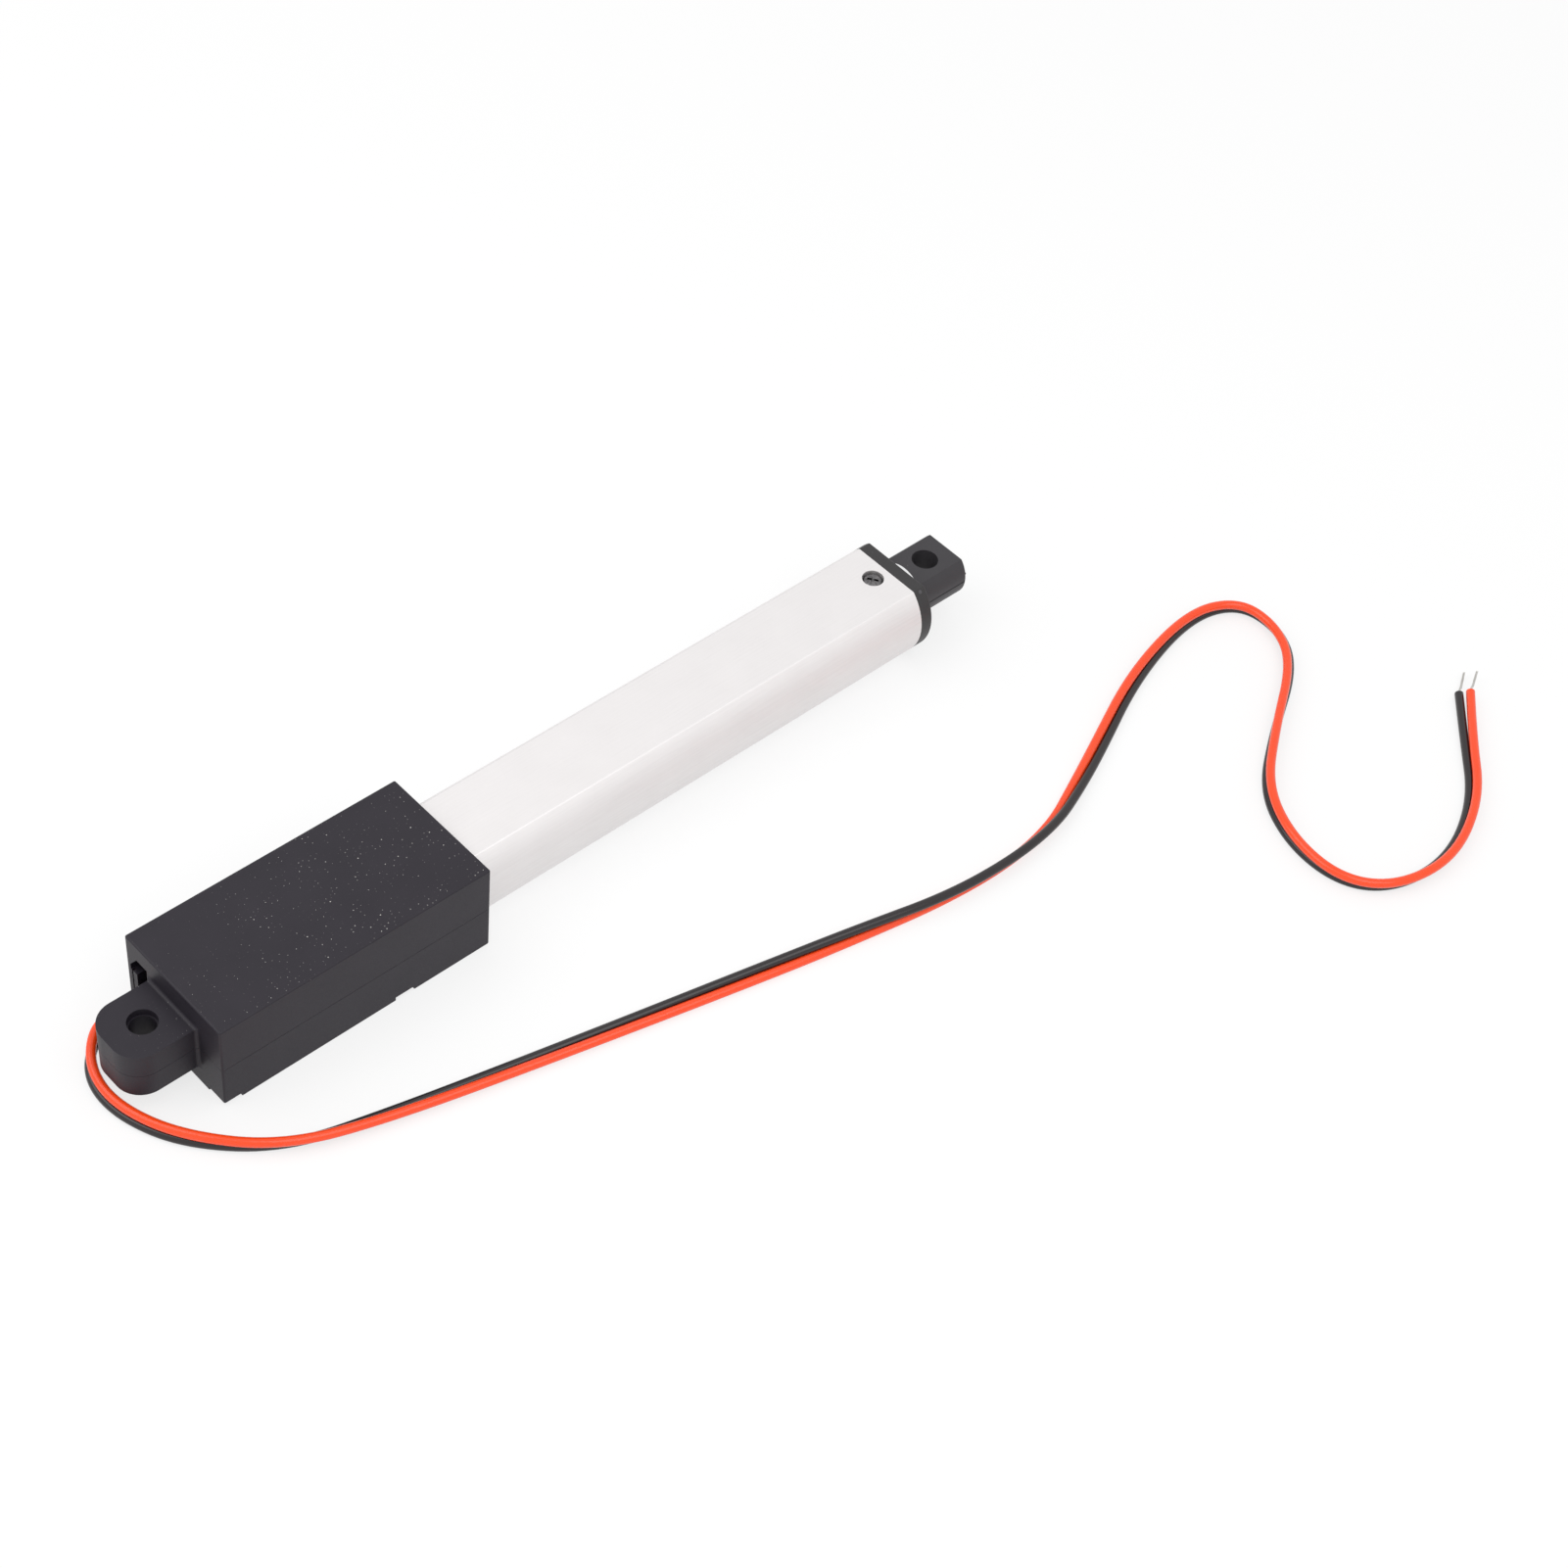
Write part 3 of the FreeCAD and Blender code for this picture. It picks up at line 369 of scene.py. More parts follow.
class Finishes:
    """Every finish on the actuator."""

    HOUSING = Finish("charcoal_moulding", (0.0145, 0.0118, 0.0182), (0.0195, 0.0162, 0.0236),
                     rough=(0.44, 0.58), grain_mm=0.16, bump_mm=0.006, specular=0.34, dust=0.6)
    CAP = Finish("dark_grey_moulding", (0.028, 0.0262, 0.0276), (0.036, 0.034, 0.0356), rough=(0.4, 0.54),
                 grain_mm=0.16, bump_mm=0.006, specular=0.38, dust=0.03)
    EYE = Finish("eye_moulding", (0.035, 0.0325, 0.037), (0.043, 0.0403, 0.045), rough=(0.42, 0.56),
                 grain_mm=0.16, bump_mm=0.006, specular=0.38, dust=0.03)
    TUBE = Finish("satin_silver_tube", (0.81, 0.79, 0.789), (0.782, 0.762, 0.761), metallic=1.0,
                  rough=(0.52, 0.62), grain_mm=0.35, grain=Grain.ALONG_X, bump_mm=0.003)
    ROD = Finish("polished_rod", (0.86, 0.86, 0.865), (0.8, 0.8, 0.81), metallic=1.0, rough=(0.14, 0.22),
                 grain_mm=0.12, grain=Grain.ROUND_X, bump_mm=0.001)
    TURNED = Finish("turned_steel", (0.6, 0.6, 0.62), (0.48, 0.48, 0.5), metallic=1.0, rough=(0.22, 0.34),
                    grain_mm=0.1, grain=Grain.ROUND_X, bump_mm=0.002)
    FASTENER = Finish("plated_screw", (0.62, 0.62, 0.63), (0.5, 0.5, 0.52), metallic=1.0, rough=(0.16, 0.3),
                      grain_mm=0.15, bump_mm=0.003)
    CAP_SCREW = Finish("dark_plated_screw", (0.03, 0.03, 0.033), (0.26, 0.25, 0.255), metallic=1.0,
                       rough=(0.16, 0.3), grain_mm=0.5, bump_mm=0.004)
    GATE = Finish("gate_scar", (0.05, 0.047, 0.052), (0.09, 0.086, 0.092), rough=(0.55, 0.7), grain_mm=0.12)
    BRASS = Finish("cut_brass", (0.78, 0.55, 0.2), (0.62, 0.42, 0.15), metallic=1.0, rough=(0.24, 0.38),
                   grain_mm=0.12, bump_mm=0.002)
    PLATE = Finish("rolled_brass", (0.7, 0.52, 0.22), (0.58, 0.42, 0.17), metallic=1.0, rough=(0.3, 0.44),
                   grain_mm=0.2, grain=Grain.ACROSS_X, bump_mm=0.002)
    BRONZE = Finish("sintered_bronze", (0.5, 0.32, 0.15), (0.36, 0.22, 0.1), metallic=1.0,
                    rough=(0.4, 0.58), grain_mm=0.08, bump_mm=0.006)
    BEARING = Finish("ground_steel", (0.72, 0.72, 0.74), (0.64, 0.64, 0.66), metallic=1.0, rough=(0.1, 0.2),
                     grain_mm=0.1, grain=Grain.ROUND_X, bump_mm=0.001)
    ACETAL = Finish("white_acetal", (0.78, 0.77, 0.73), (0.72, 0.71, 0.67), rough=(0.34, 0.46),
                    grain_mm=0.4, bump_mm=0.004)
    RUBBER = Finish("black_rubber", (0.02, 0.02, 0.02), (0.035, 0.034, 0.033), rough=(0.62, 0.78),
                    grain_mm=0.1, bump_mm=0.006, specular=0.35)
    CAN = Finish("plated_can", (0.66, 0.66, 0.66), (0.56, 0.56, 0.57), metallic=1.0, rough=(0.26, 0.38),
                 grain_mm=0.25, grain=Grain.ALONG_X, bump_mm=0.002)
    BELL = Finish("ivory_moulding", (0.74, 0.72, 0.64), (0.66, 0.64, 0.57), rough=(0.4, 0.52),
                  grain_mm=0.25, bump_mm=0.005)
    TERMINAL = Finish("tinned_brass", (0.7, 0.62, 0.45), (0.6, 0.55, 0.45), metallic=1.0,
                      rough=(0.28, 0.42), grain_mm=0.12, bump_mm=0.003)
    MAGNET = Finish("sintered_magnet", (0.07, 0.07, 0.075), (0.11, 0.11, 0.115), metallic=0.6,
                    rough=(0.5, 0.66), grain_mm=0.07, bump_mm=0.005)
    CORE = Finish("stacked_core", (0.22, 0.21, 0.2), (0.32, 0.31, 0.3), metallic=0.8, rough=(0.36, 0.5),
                  grain_mm=0.12, grain=Grain.ROUND_X, bump_mm=0.006)
    COPPER = Finish("enamelled_copper", (0.62, 0.24, 0.09), (0.5, 0.17, 0.06), metallic=1.0,
                    rough=(0.22, 0.34), grain_mm=0.1, bump_mm=0.003, coat=0.4)
    COPPER_TRACK = Finish("masked_track", (0.03, 0.24, 0.09), (0.04, 0.3, 0.12), rough=(0.24, 0.34),
                          grain_mm=0.2, bump_mm=0.003, coat=0.3)
    LAMINATE = Finish("green_laminate", (0.02, 0.13, 0.05), (0.03, 0.18, 0.07), rough=(0.26, 0.38),
                      bump_mm=0.003, coat=0.3)
    SWITCH = Finish("switch_moulding", (0.02, 0.02, 0.021), (0.03, 0.03, 0.031), rough=(0.4, 0.52),
                    grain_mm=0.12, bump_mm=0.004)
    SOLDER = Finish("solder", (0.68, 0.68, 0.7), (0.56, 0.56, 0.58), metallic=1.0, rough=(0.2, 0.34),
                    grain_mm=0.2, bump_mm=0.004)
    BLACK_LEAD = Finish("black_sheath", (0.0125, 0.0088, 0.0102), (0.0165, 0.012, 0.0135),
                        rough=(0.15, 0.21), grain_mm=0.25, bump_mm=0.003)
    RED_LEAD = Finish("red_sheath", (0.955, 0.071, 0.0085), (0.942, 0.062, 0.006), rough=(0.15, 0.21),
                      grain_mm=0.25, bump_mm=0.003)
    TINNED = Finish("tinned_strand", (0.7, 0.69, 0.67), (0.55, 0.53, 0.5), metallic=1.0, rough=(0.22, 0.36),
                    grain_mm=0.1, bump_mm=0.002)


class Shape:
    """A mesh in the making, built from rings of points.

    Attributes:
        build: The points and faces so far.
        sharp: Angle in degrees from which an edge stays sharp.
        sunk: Depth of a blob's foot, as a share of its height.
    """

    sunk: ClassVar[float] = 0.3

    def __init__(self, sharp: float = 35.0) -> None:
        """Start with nothing."""
        self.build = bmesh.new()
        self.sharp = sharp

    def ring(self, points: list[Vector]) -> Ring:
        """Add the points of one ring."""
        return [self.build.verts.new(point) for point in points]

    def skin(self, rings: list[Ring]) -> None:
        """Join each closed ring to the next with a band of faces.

        Args:
            rings: Rings with equal numbers of points.
        """
        for low, high in zip(rings, rings[1:]):
            for k in range(len(low)):
                n = (k + 1) % len(low)
                self.build.faces.new((low[k], low[n], high[n], high[k]))

    def fan(self, ring: Ring, tip: Vector) -> None:
        """Close a ring towards a point.

        Args:
            ring: The ring.
            tip: Where its faces meet.
        """
        point = self.build.verts.new(tip)
        for k in range(len(ring)):
            self.build.faces.new((ring[k], ring[(k + 1) % len(ring)], point))

    def loft(self, rings: list[Ring], start: Vector, end: Vector) -> None:
        """Skin some rings and close both ends.

        Args:
            rings: Rings with equal numbers of points.
            start: Where the faces of the first ring meet.
            end: Where the faces of the last ring meet.
        """
        self.skin(rings)
        self.fan(rings[0], start)
        self.fan(rings[-1], end)

    def turned(self, place: Matrix, profile: list[Span], sides: int = 40) -> None:
        """Add a solid of revolution about the local X axis.

        Args:
            place: Where the local axes sit.
            profile: Stations along the axis with their radii, in millimetres.
            sides: Facets round the axis.
        """
        rings = [self.ring([place @ polar(x, r, a) for a in turns(sides)]) for x, r in profile]
        self.loft(rings, place @ mm(profile[0][0], 0.0, 0.0), place @ mm(profile[-1][0], 0.0, 0.0))

    def dome(self, place: Matrix, radius: float, height: float, steps: int = 7, sides: int = 20) -> None:
        """Add a low round blob that rises along the local X axis, with its foot sunk a little.

        Args:
            place: Where its foot sits.
            radius: Of its foot, in millimetres.
            height: Of its crown, in millimetres.
            steps: Rings from foot to crown.
            sides: Facets round the axis.
        """
        foot = -self.sunk * height
        arc = [k / steps * math.pi / 2 for k in range(steps)]
        profile = [(height * math.sin(a), radius * math.cos(a)) for a in arc]
        self.turned(place, [(foot, radius)] + profile, sides)

    def wire(self, line: list[Vector], radius: float, sides: int, loop: bool = False) -> None:
        """Add a round wire along a line of points.

        Args:
            line: The points in order.
            radius: Of the wire, in metres.
            sides: Facets round the wire.
            loop: Whether the line closes on itself.
        """
        last = len(line) - 1
        rings = []
        side = None
        for k, point in enumerate(line):
            after = line[(k + 1) % len(line)] if loop else line[min(k + 1, last)]
            before = line[k - 1] if loop or k > 0 else point
            along = (after - before).normalized()
            side = along.orthogonal() if side is None else side - along * side.dot(along)
            side.normalize()
            up = along.cross(side)
            rings.append(self.ring([point + (side * math.cos(a) + up * math.sin(a)) * radius
                                    for a in turns(sides)]))
        if loop:
            self.skin(rings + rings[:1])
        else:
            self.loft(rings, line[0], line[-1])

    def strip(self, line: list[Vector], width: float, rise: Vector) -> None:
        """Add a flat strip along a line of points.

        Args:
            line: The points in order, on the surface that carries it.
            width: Of the strip, in metres.
            rise: Its thickness, as a vector off the surface.
        """
        last = len(line) - 1
        rings = []
        for k, point in enumerate(line):
            along = line[min(k + 1, last)] - line[max(k - 1, 0)]
            out = along.cross(rise).normalized() * width / 2
            rings.append(self.ring([point - out, point + out, point + out + rise, point - out + rise]))
        self.loft(rings, line[0] + rise / 2, line[-1] + rise / 2)

    def mesh(self, name: str) -> bpy.types.Mesh:
        """Finish the mesh, smooth but for its sharp edges.

        Args:
            name: Name of the mesh.

        Returns:
            The mesh.
        """
        bmesh.ops.recalc_face_normals(self.build, faces=self.build.faces)
        made = bpy.data.meshes.new(name)
        self.build.to_mesh(made)
        self.build.free()
        made.shade_smooth()
        made.set_sharp_from_angle(angle=math.radians(self.sharp))
        return made


@dataclass(frozen=True)
class Thread:
    """A right-hand screw thread along the local X axis, in millimetres.

    Attributes:
        start: Where it begins.
        end: Where it ends.
        crest: Radius of its crest.
        root: Radius of its root.
        pitch: Advance of one turn.
        sides: Facets of one turn.
        crest_end: Where the crest ends, as a share of the pitch.
        root_span: Where the root begins and ends, as shares of the pitch.
    """

    start: float
    end: float
    crest: float
    root: float
    pitch: float
    sides: int = 24
    crest_end: ClassVar[float] = 0.28
    root_span: ClassVar[Span] = (0.5, 0.78)

    def cut_into(self, shape: Shape, place: Matrix) -> None:
        """Add the threaded length to a shape.

        Args:
            shape: Shape that gets the thread.
            place: Where the local axes sit.
        """
        flank = [(share, self.crest) for share in (0.0, self.crest_end)]
        flank += [(share, self.root) for share in self.root_span]
        rows = len(flank) * (int((self.end - self.start) / self.pitch) - 1)
        columns = []
        for k, a in enumerate(turns(self.sides)):
            column = []
            for j in range(rows + 1 + (len(flank) if k == 0 else 0)):
                share, radius = flank[j % len(flank)]
                x = self.start + self.pitch * (j // len(flank) + share + k / self.sides)
                column.append(place @ polar(x, radius, a))
            columns.append(shape.ring(column))
        for k, column in enumerate(columns):
            beside = columns[k + 1] if k + 1 < self.sides else columns[0][len(flank):]
            for j in range(rows):
                shape.build.faces.new((column[j], beside[j], beside[j + 1], column[j + 1]))
        for row, x in ((0, self.start), (rows, self.end)):
            step = [columns[0][row + j] for j in range(len(flank), 0, -1)]
            shape.fan([column[row] for column in columns] + step, place @ mm(x, 0.0, 0.0))


@dataclass(frozen=True)
class CrossScrew:
    """A kind of small screw with a domed head and a cross recess, in millimetres.

    Attributes:
        head_h: Height of the head.
        shank_d: Diameter over the thread.
        pitch: Of the thread.
        turn: Angle at which the first one's cross stands, in radians.
        step: Turn of the cross from one screw to the next.
        arm: Half length of the recess's arms, as a share of the head's radius.
        slot: Half width of the arms, as a share of the head's radius.
        between: Points of the outline from one arm to the next.
        fall: Fall of the dome at the rim, as a share of the head's height.
        floor: Height of the recess's floor, as a share of the head's height.
        taper: Width of the floor, as a share of the recess's.
        shoulder: Where the dome ends, as a share of the head's radius.
        edge: Heights and radii of the rounded rim and the underside, as shares.
        root: Radius of the thread's root, as a share of its diameter.
        sides: Facets of the thread.
    """

    head_h: float
    shank_d: float
    pitch: float
    turn: float
    step: float = 0.0
    arm: ClassVar[float] = 0.62
    slot: ClassVar[float] = 0.15
    between: ClassVar[int] = 7
    fall: ClassVar[float] = 0.2
    floor: ClassVar[float] = 0.35
    taper: ClassVar[float] = 0.7
    shoulder: ClassVar[float] = 0.88
    edge: ClassVar[tuple[Span, ...]] = ((0.7, 0.97), (0.5, 1.0), (0.0, 1.0), (0.0, 0.5))
    root: ClassVar[float] = 0.4
    sides: ClassVar[int] = 16

    def crown(self, share: float) -> float:
        """Height of the domed head at a share of its radius."""
        return self.head_h * (1.0 - self.fall * share ** 2)

    def outline(self, rim: float) -> list[Span]:
        """Trace the cross recess.

        Args:
            rim: Radius of the head.

        Returns:
            Angle and radius of each point of the cross, in order round the head.
        """
        long, wide = self.arm * rim, self.slot * rim
        quarter = math.pi / 2
        corner = math.atan2(wide, long)
        gap = (quarter - 2.0 * corner) / (self.between + 1)
        out = []
        for k in range(4):
            for a in (-corner, 0.0, corner):
                out.append((k * quarter + a, long / math.cos(a)))
            for j in range(1, self.between + 1):
                a = corner + j * gap
                out.append((k * quarter + a, wide / math.sin(min(a, quarter - a))))
        return out

    def add_to(self, shape: Shape, seat: Matrix, rim: float, shank_l: float) -> None:
        """Add one screw to a shape.

        Args:
            shape: Shape that gets the screw.
            seat: Local axes at the underside of the head, X out of the head.
            rim: Radius of the head.
            shank_l: Length below the head.
        """
        cross = self.outline(rim)
        low = self.head_h * self.floor
        levels = [[(low, a, r * self.taper) for a, r in cross]]
        for share in (0.0, 0.5, 1.0):
            ring = [(a, r + (self.shoulder * rim - r) * share) for a, r in cross]
            levels.append([(self.crown(r / rim), a, r) for a, r in ring])
        for height, r in self.edge:
            levels.append([(self.head_h * height, a, rim * r) for a, _ in cross])
        rings = [shape.ring([seat @ polar(x, r, a) for x, a, r in level]) for level in levels]
        shape.loft(rings, seat @ mm(low, 0.0, 0.0), seat @ mm(0.0, 0.0, 0.0))
        thread = Thread(-shank_l, 0.0, self.shank_d / 2, self.shank_d * self.root, self.pitch, self.sides)
        thread.cut_into(shape, seat)

    def fitted(self, node: str) -> Shape:
        """Make a screw at each of a node's solids, with its head away from the part's middle.

        Args:
            node: Node of the frame with plain screws.

        Returns:
            All the screws.
        """
        shape = Shape()
        for k, (low, high) in enumerate(solids_of(node)):
            middle = (low + high) / 2
            up = 1.0 if middle.z > 0.0 else -1.0
            top = high.z if up > 0.0 else low.z
            seat = Matrix.Translation(mm(middle.x, middle.y, top - up * self.head_h))
            seat = seat @ Matrix.Rotation(-up * math.pi / 2, 4, "Y")
            seat = seat @ Matrix.Rotation(self.turn + self.step * k, 4, "X")
            self.add_to(shape, seat, (high.x - low.x) / 2, high.z - low.z - self.head_h)
        return shape


@dataclass
class SubAssembly:
    """A group of pieces that is built and dressed together.

    Attributes:
        body: Body of the frame that carries its added pieces.
    """

    body: str = "base"

    def dress(self, finish: Finish, *nodes: str) -> None:
        """Give nodes of the frame a finish.

        Args:
            finish: What they wear.
            nodes: Their names.
        """
        for node in nodes:
            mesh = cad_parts[node].data
            mesh.materials.clear()
            mesh.materials.append(finish.material())
            log.info("node %s wears %s", node, finish.name)

    def add(self, name: str, shape: Shape, finish: Finish, slot: str, *stands_for: str) -> bpy.types.Object:
        """Put a new piece in the scene.

        Args:
            name: Name of the piece.
            shape: Its shape, in the frame.
            finish: What it wears.
            slot: Material slot of the record; not used.
            stands_for: Nodes of the frame that it replaces.

        Returns:
            The piece.
        """
        piece = put_in_scene(name, shape.mesh(name))
        piece.data.materials.append(finish.material())
        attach(piece, self.body)
        if stands_for:
            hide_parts(*stands_for)
        log.info("piece %s rides on %s and wears %s", name, self.body, finish.name)
        return piece


@dataclass
class Housing(SubAssembly):
    """The two moulded halves and the four screws that hold them from below.

    Attributes:
        screw: Kind of the screws.
    """

    screw: CrossScrew = CrossScrew(head_h=0.75, shank_d=1.7, pitch=0.6, turn=0.5, step=1.1)

    def build(self) -> None:
        """Dress the halves and make the screws."""
        self.dress(Finishes.HOUSING, "upper_housing", "lower_housing")
        self.add("housing_cross_screws", self.screw.fitted("housing_screws"), Finishes.FASTENER,
                 "fastener_steel", "housing_screws")


@dataclass
class TubeAndCap(SubAssembly):
    """The silver tube with its moulded front cap, the bush, the wiper and two cap screws.

    Attributes:
        screw: Kind of the cap screws.
        gate_back: Distance of the cap's gate mark behind its front face, in millimetres.
        gate_turn: Its angle from the top round to the near side, in degrees.
        gate_r: Its radius.
        gate_h: Its height.
    """

    screw: CrossScrew = CrossScrew(head_h=0.8, shank_d=1.6, pitch=0.35, turn=0.62)
    gate_back: float = 1.23
    gate_turn: float = 46.9
    gate_r: float = 0.34
    gate_h: float = 0.1

    def build(self) -> None:
        """Dress the tube, the cap and what they hold, and add the screws and the gate mark."""
        self.dress(Finishes.TUBE, "outer_tube")
        self.dress(Finishes.CAP, "front_cap")
        self.dress(Finishes.BRONZE, "rod_bush")
        self.dress(Finishes.RUBBER, "rod_wiper")
        self.add("cap_cross_screws", self.screw.fitted("cap_screws"), Finishes.CAP_SCREW,
                 "fastener_steel", "cap_screws")
        self.add("cap_gate_mark", self.gate_mark(), Finishes.GATE, "cap_plastic")

    def gate_mark(self) -> Shape:
        """Make the small round mark that the mould's gate leaves on the cap.

        Returns:
            Its shape.
        """
        high = box_of("front_cap")[1]
        turn = math.radians(self.gate_turn)
        outward = Vector((0.0, -math.sin(turn), math.cos(turn)))
        spot = mm(high.x - self.gate_back, high.y * outward.y, high.y * outward.z)
        shape = Shape()
        facing = outward.to_track_quat("X", "Z").to_matrix().to_4x4()
        shape.dome(Matrix.Translation(spot) @ facing, self.gate_r, self.gate_h)
        return shape


@dataclass
class PushRod(SubAssembly):
    """The rod with its moulded eye and the nut that drives it.

    Attributes:
        nub_up: Place of the eye's mould nub above its middle, in millimetres.
        nub_in: Its distance from the eye's near edge.
        nub_r: Radius of the nub.
        nub_h: Its height.
    """

    body: str = "rod"
    nub_up: float = 1.3
    nub_in: float = 0.3
    nub_r: float = 0.2
    nub_h: float = 0.12

    def build(self) -> None:
        """Dress the rod, the eye and the nut, and add the nub."""
        self.dress(Finishes.ROD, "push_rod")
        self.dress(Finishes.EYE, "rod_end")
        self.dress(Finishes.ACETAL, "drive_nut")
        self.add("eye_mould_nub", self.nub(), Finishes.EYE, "cap_plastic")

    def nub(self) -> Shape:
        """Make the small nub on the eye's near front edge.

        Returns:
            Its shape.
        """
        low, high = box_of("rod_end")
        reach = math.sqrt(low.y ** 2 - self.nub_up ** 2) - self.nub_in
        shape = Shape()
        shape.dome(Matrix.Translation(mm(high.x, -reach, self.nub_up)), self.nub_r, self.nub_h)
        return shape


@dataclass
class ScrewDrive(SubAssembly):
    """The lead screw with its wheel, clip and ball bearing, in millimetres.

    Attributes:
        seat_r: Radius of the wheel's seat.
        seat_chamfer: Chamfer at its end.
        journal_r: Radius of the bearing's journal.
        shoulder: Start of the journal behind the bearing.
        collar: Plain length in front of the bearing.
        neck: Length from the bearing to the thread's root.
        depth: Depth of the thread.
        lead: Advance of the nut for one turn.
        thread_back: End of the thread behind the screw's.
        tip_l: Length of the plain tip.
        tip_chamfer: Chamfer at its end.
        sharp: Angle in degrees from which an edge stays sharp.
    """

    body: str = "screw"
    seat_r: float = 1.5
    seat_chamfer: float = 0.15
    journal_r: float = 2.0
    shoulder: float = 0.1
    collar: float = 0.4
    neck: float = 0.6
    depth: float = 0.5
    lead: float = 1.0
    thread_back: float = 0.7
    tip_l: float = 1.9
    tip_chamfer: float = 0.4
    sharp: float = 30.0

    def build(self) -> None:
        """Dress the wheel, the clip and the bearing, and cut the screw."""
        self.dress(Finishes.BRASS, "output_gear")
        self.dress(Finishes.FASTENER, "screw_clip")
        self.dress(Finishes.BEARING, "bearing_inner_ring", "bearing_outer_ring", "bearing_balls")
        self.add("threaded_screw", self.screw(), Finishes.TURNED, "screw_steel", "lead_screw")

    def screw(self) -> Shape:
        """Turn the seat, the journal and the tip, and cut the thread.

        Returns:
            The screw's shape.
        """
        low, high = box_of("lead_screw")
        bearing = box_of("bearing_inner_ring")
        crest = high.z
        root = crest - self.depth
        step = bearing[0].x - self.shoulder
        front = bearing[1].x
        shape = Shape(self.sharp)
        shape.turned(Matrix(), [
            (low.x, self.seat_r - self.seat_chamfer), (low.x + self.seat_chamfer, self.seat_r),
            (step, self.seat_r), (step, self.journal_r), (front, self.journal_r),
            (front, crest), (front + self.collar, crest), (front + self.neck, root),
        ])
        thread = Thread(front + self.collar, high.x - self.thread_back, crest, root, self.lead)
        thread.cut_into(shape, Matrix())
        shape.turned(Matrix(), [(high.x - self.tip_l, root), (high.x - self.tip_chamfer, root),
                                (high.x, root - self.tip_chamfer)])
        return shape


@dataclass
class GearTrain(SubAssembly):
    """The compound wheel on its spindle between two plates."""

    def build(self) -> None:
        """Dress the wheel, the spindle, the plates and their posts."""
        self.dress(Finishes.BRASS, "compound_gear", "motor_pinion")
        self.dress(Finishes.PLATE, "gear_plate_rear", "gear_plate_front", "gear_posts")
        self.dress(Finishes.TURNED, "idler_spindle")


@dataclass
class Motor(SubAssembly):
    """The small motor: can, end bell, magnets and a wound rotor, in millimetres.

    Attributes:
        poles: Poles of the rotor, each with a coil.
        wire_r: Radius of the winding's wire.
        wire_sides: Facets round the wire.
        layers: Radii at which the turns of a coil lie in the slots.
        bulge: Reach of a coil's middle turn past the core's ends.
        least: Reach of its inner and outer turn, as a share of the bulge.
        steps: Steps of a turn across an end of the core.
        square: Power that squares the ends of a turn.
        inset: Distance of a coil's side from the middle of its slot.
        commutator_l: Length of the commutator behind the core.
    """

    body: str = "motor"
    poles: int = 3
    wire_r: float = 0.15
    wire_sides: int = 6
    layers: tuple[float, ...] = (1.75, 2.1, 2.45, 2.8, 3.15)
    bulge: float = 0.55
    least: float = 0.55
    steps: int = 12
    square: int = 6
    inset: float = 0.26
    commutator_l: float = 1.4

    def build(self) -> None:
        """Dress the motor and wind its rotor."""
        self.dress(Finishes.CAN, "motor_can")
        self.dress(Finishes.BELL, "motor_end_bell")
        self.dress(Finishes.TERMINAL, "motor_terminals")
        self.dress(Finishes.MAGNET, "motor_magnets")
        self.dress(Finishes.BRONZE, "motor_bush")
        self.dress(Finishes.TURNED, "motor_shaft")
        self.dress(Finishes.CORE, "motor_rotor")
        self.add("rotor_windings", self.windings(), Finishes.COPPER, "rotor_core")

    def turn_of_wire(self, pole: float, layer: float, reach: float) -> list[Vector]:
        """Trace one turn of a coil round its pole.

        Args:
            pole: Angle of the pole's middle.
            layer: Radius at which the turn lies.
            reach: How far it stands past the core's ends.

        Returns:
            The closed line of the turn.
        """
        low, high = box_of("motor_rotor")
        half = math.pi / self.poles - math.asin(self.inset / layer)
        line = []
        for end, sign in ((high.x, 1.0), (low.x + self.commutator_l, -1.0)):
            for k in range(self.steps + 1):
                share = k / self.steps * 2.0 - 1.0
                x = end + sign * reach * (1.0 - share ** self.square)
                line.append(polar(x, layer, pole + half * share * sign))
        return line

    def windings(self) -> Shape:
        """Wind a coil on each pole.

        Returns:
            The shape of all coils.
        """
        shape = Shape()
        middle = len(self.layers) // 2
        for pole in turns(self.poles):
            for k, layer in enumerate(self.layers):
                share = 1.0 - (1.0 - self.least) * abs(k - middle) / middle
                line = self.turn_of_wire(pole, layer, self.bulge * share)
                shape.wire(line, self.wire_r * MM, self.wire_sides, True)
        return shape


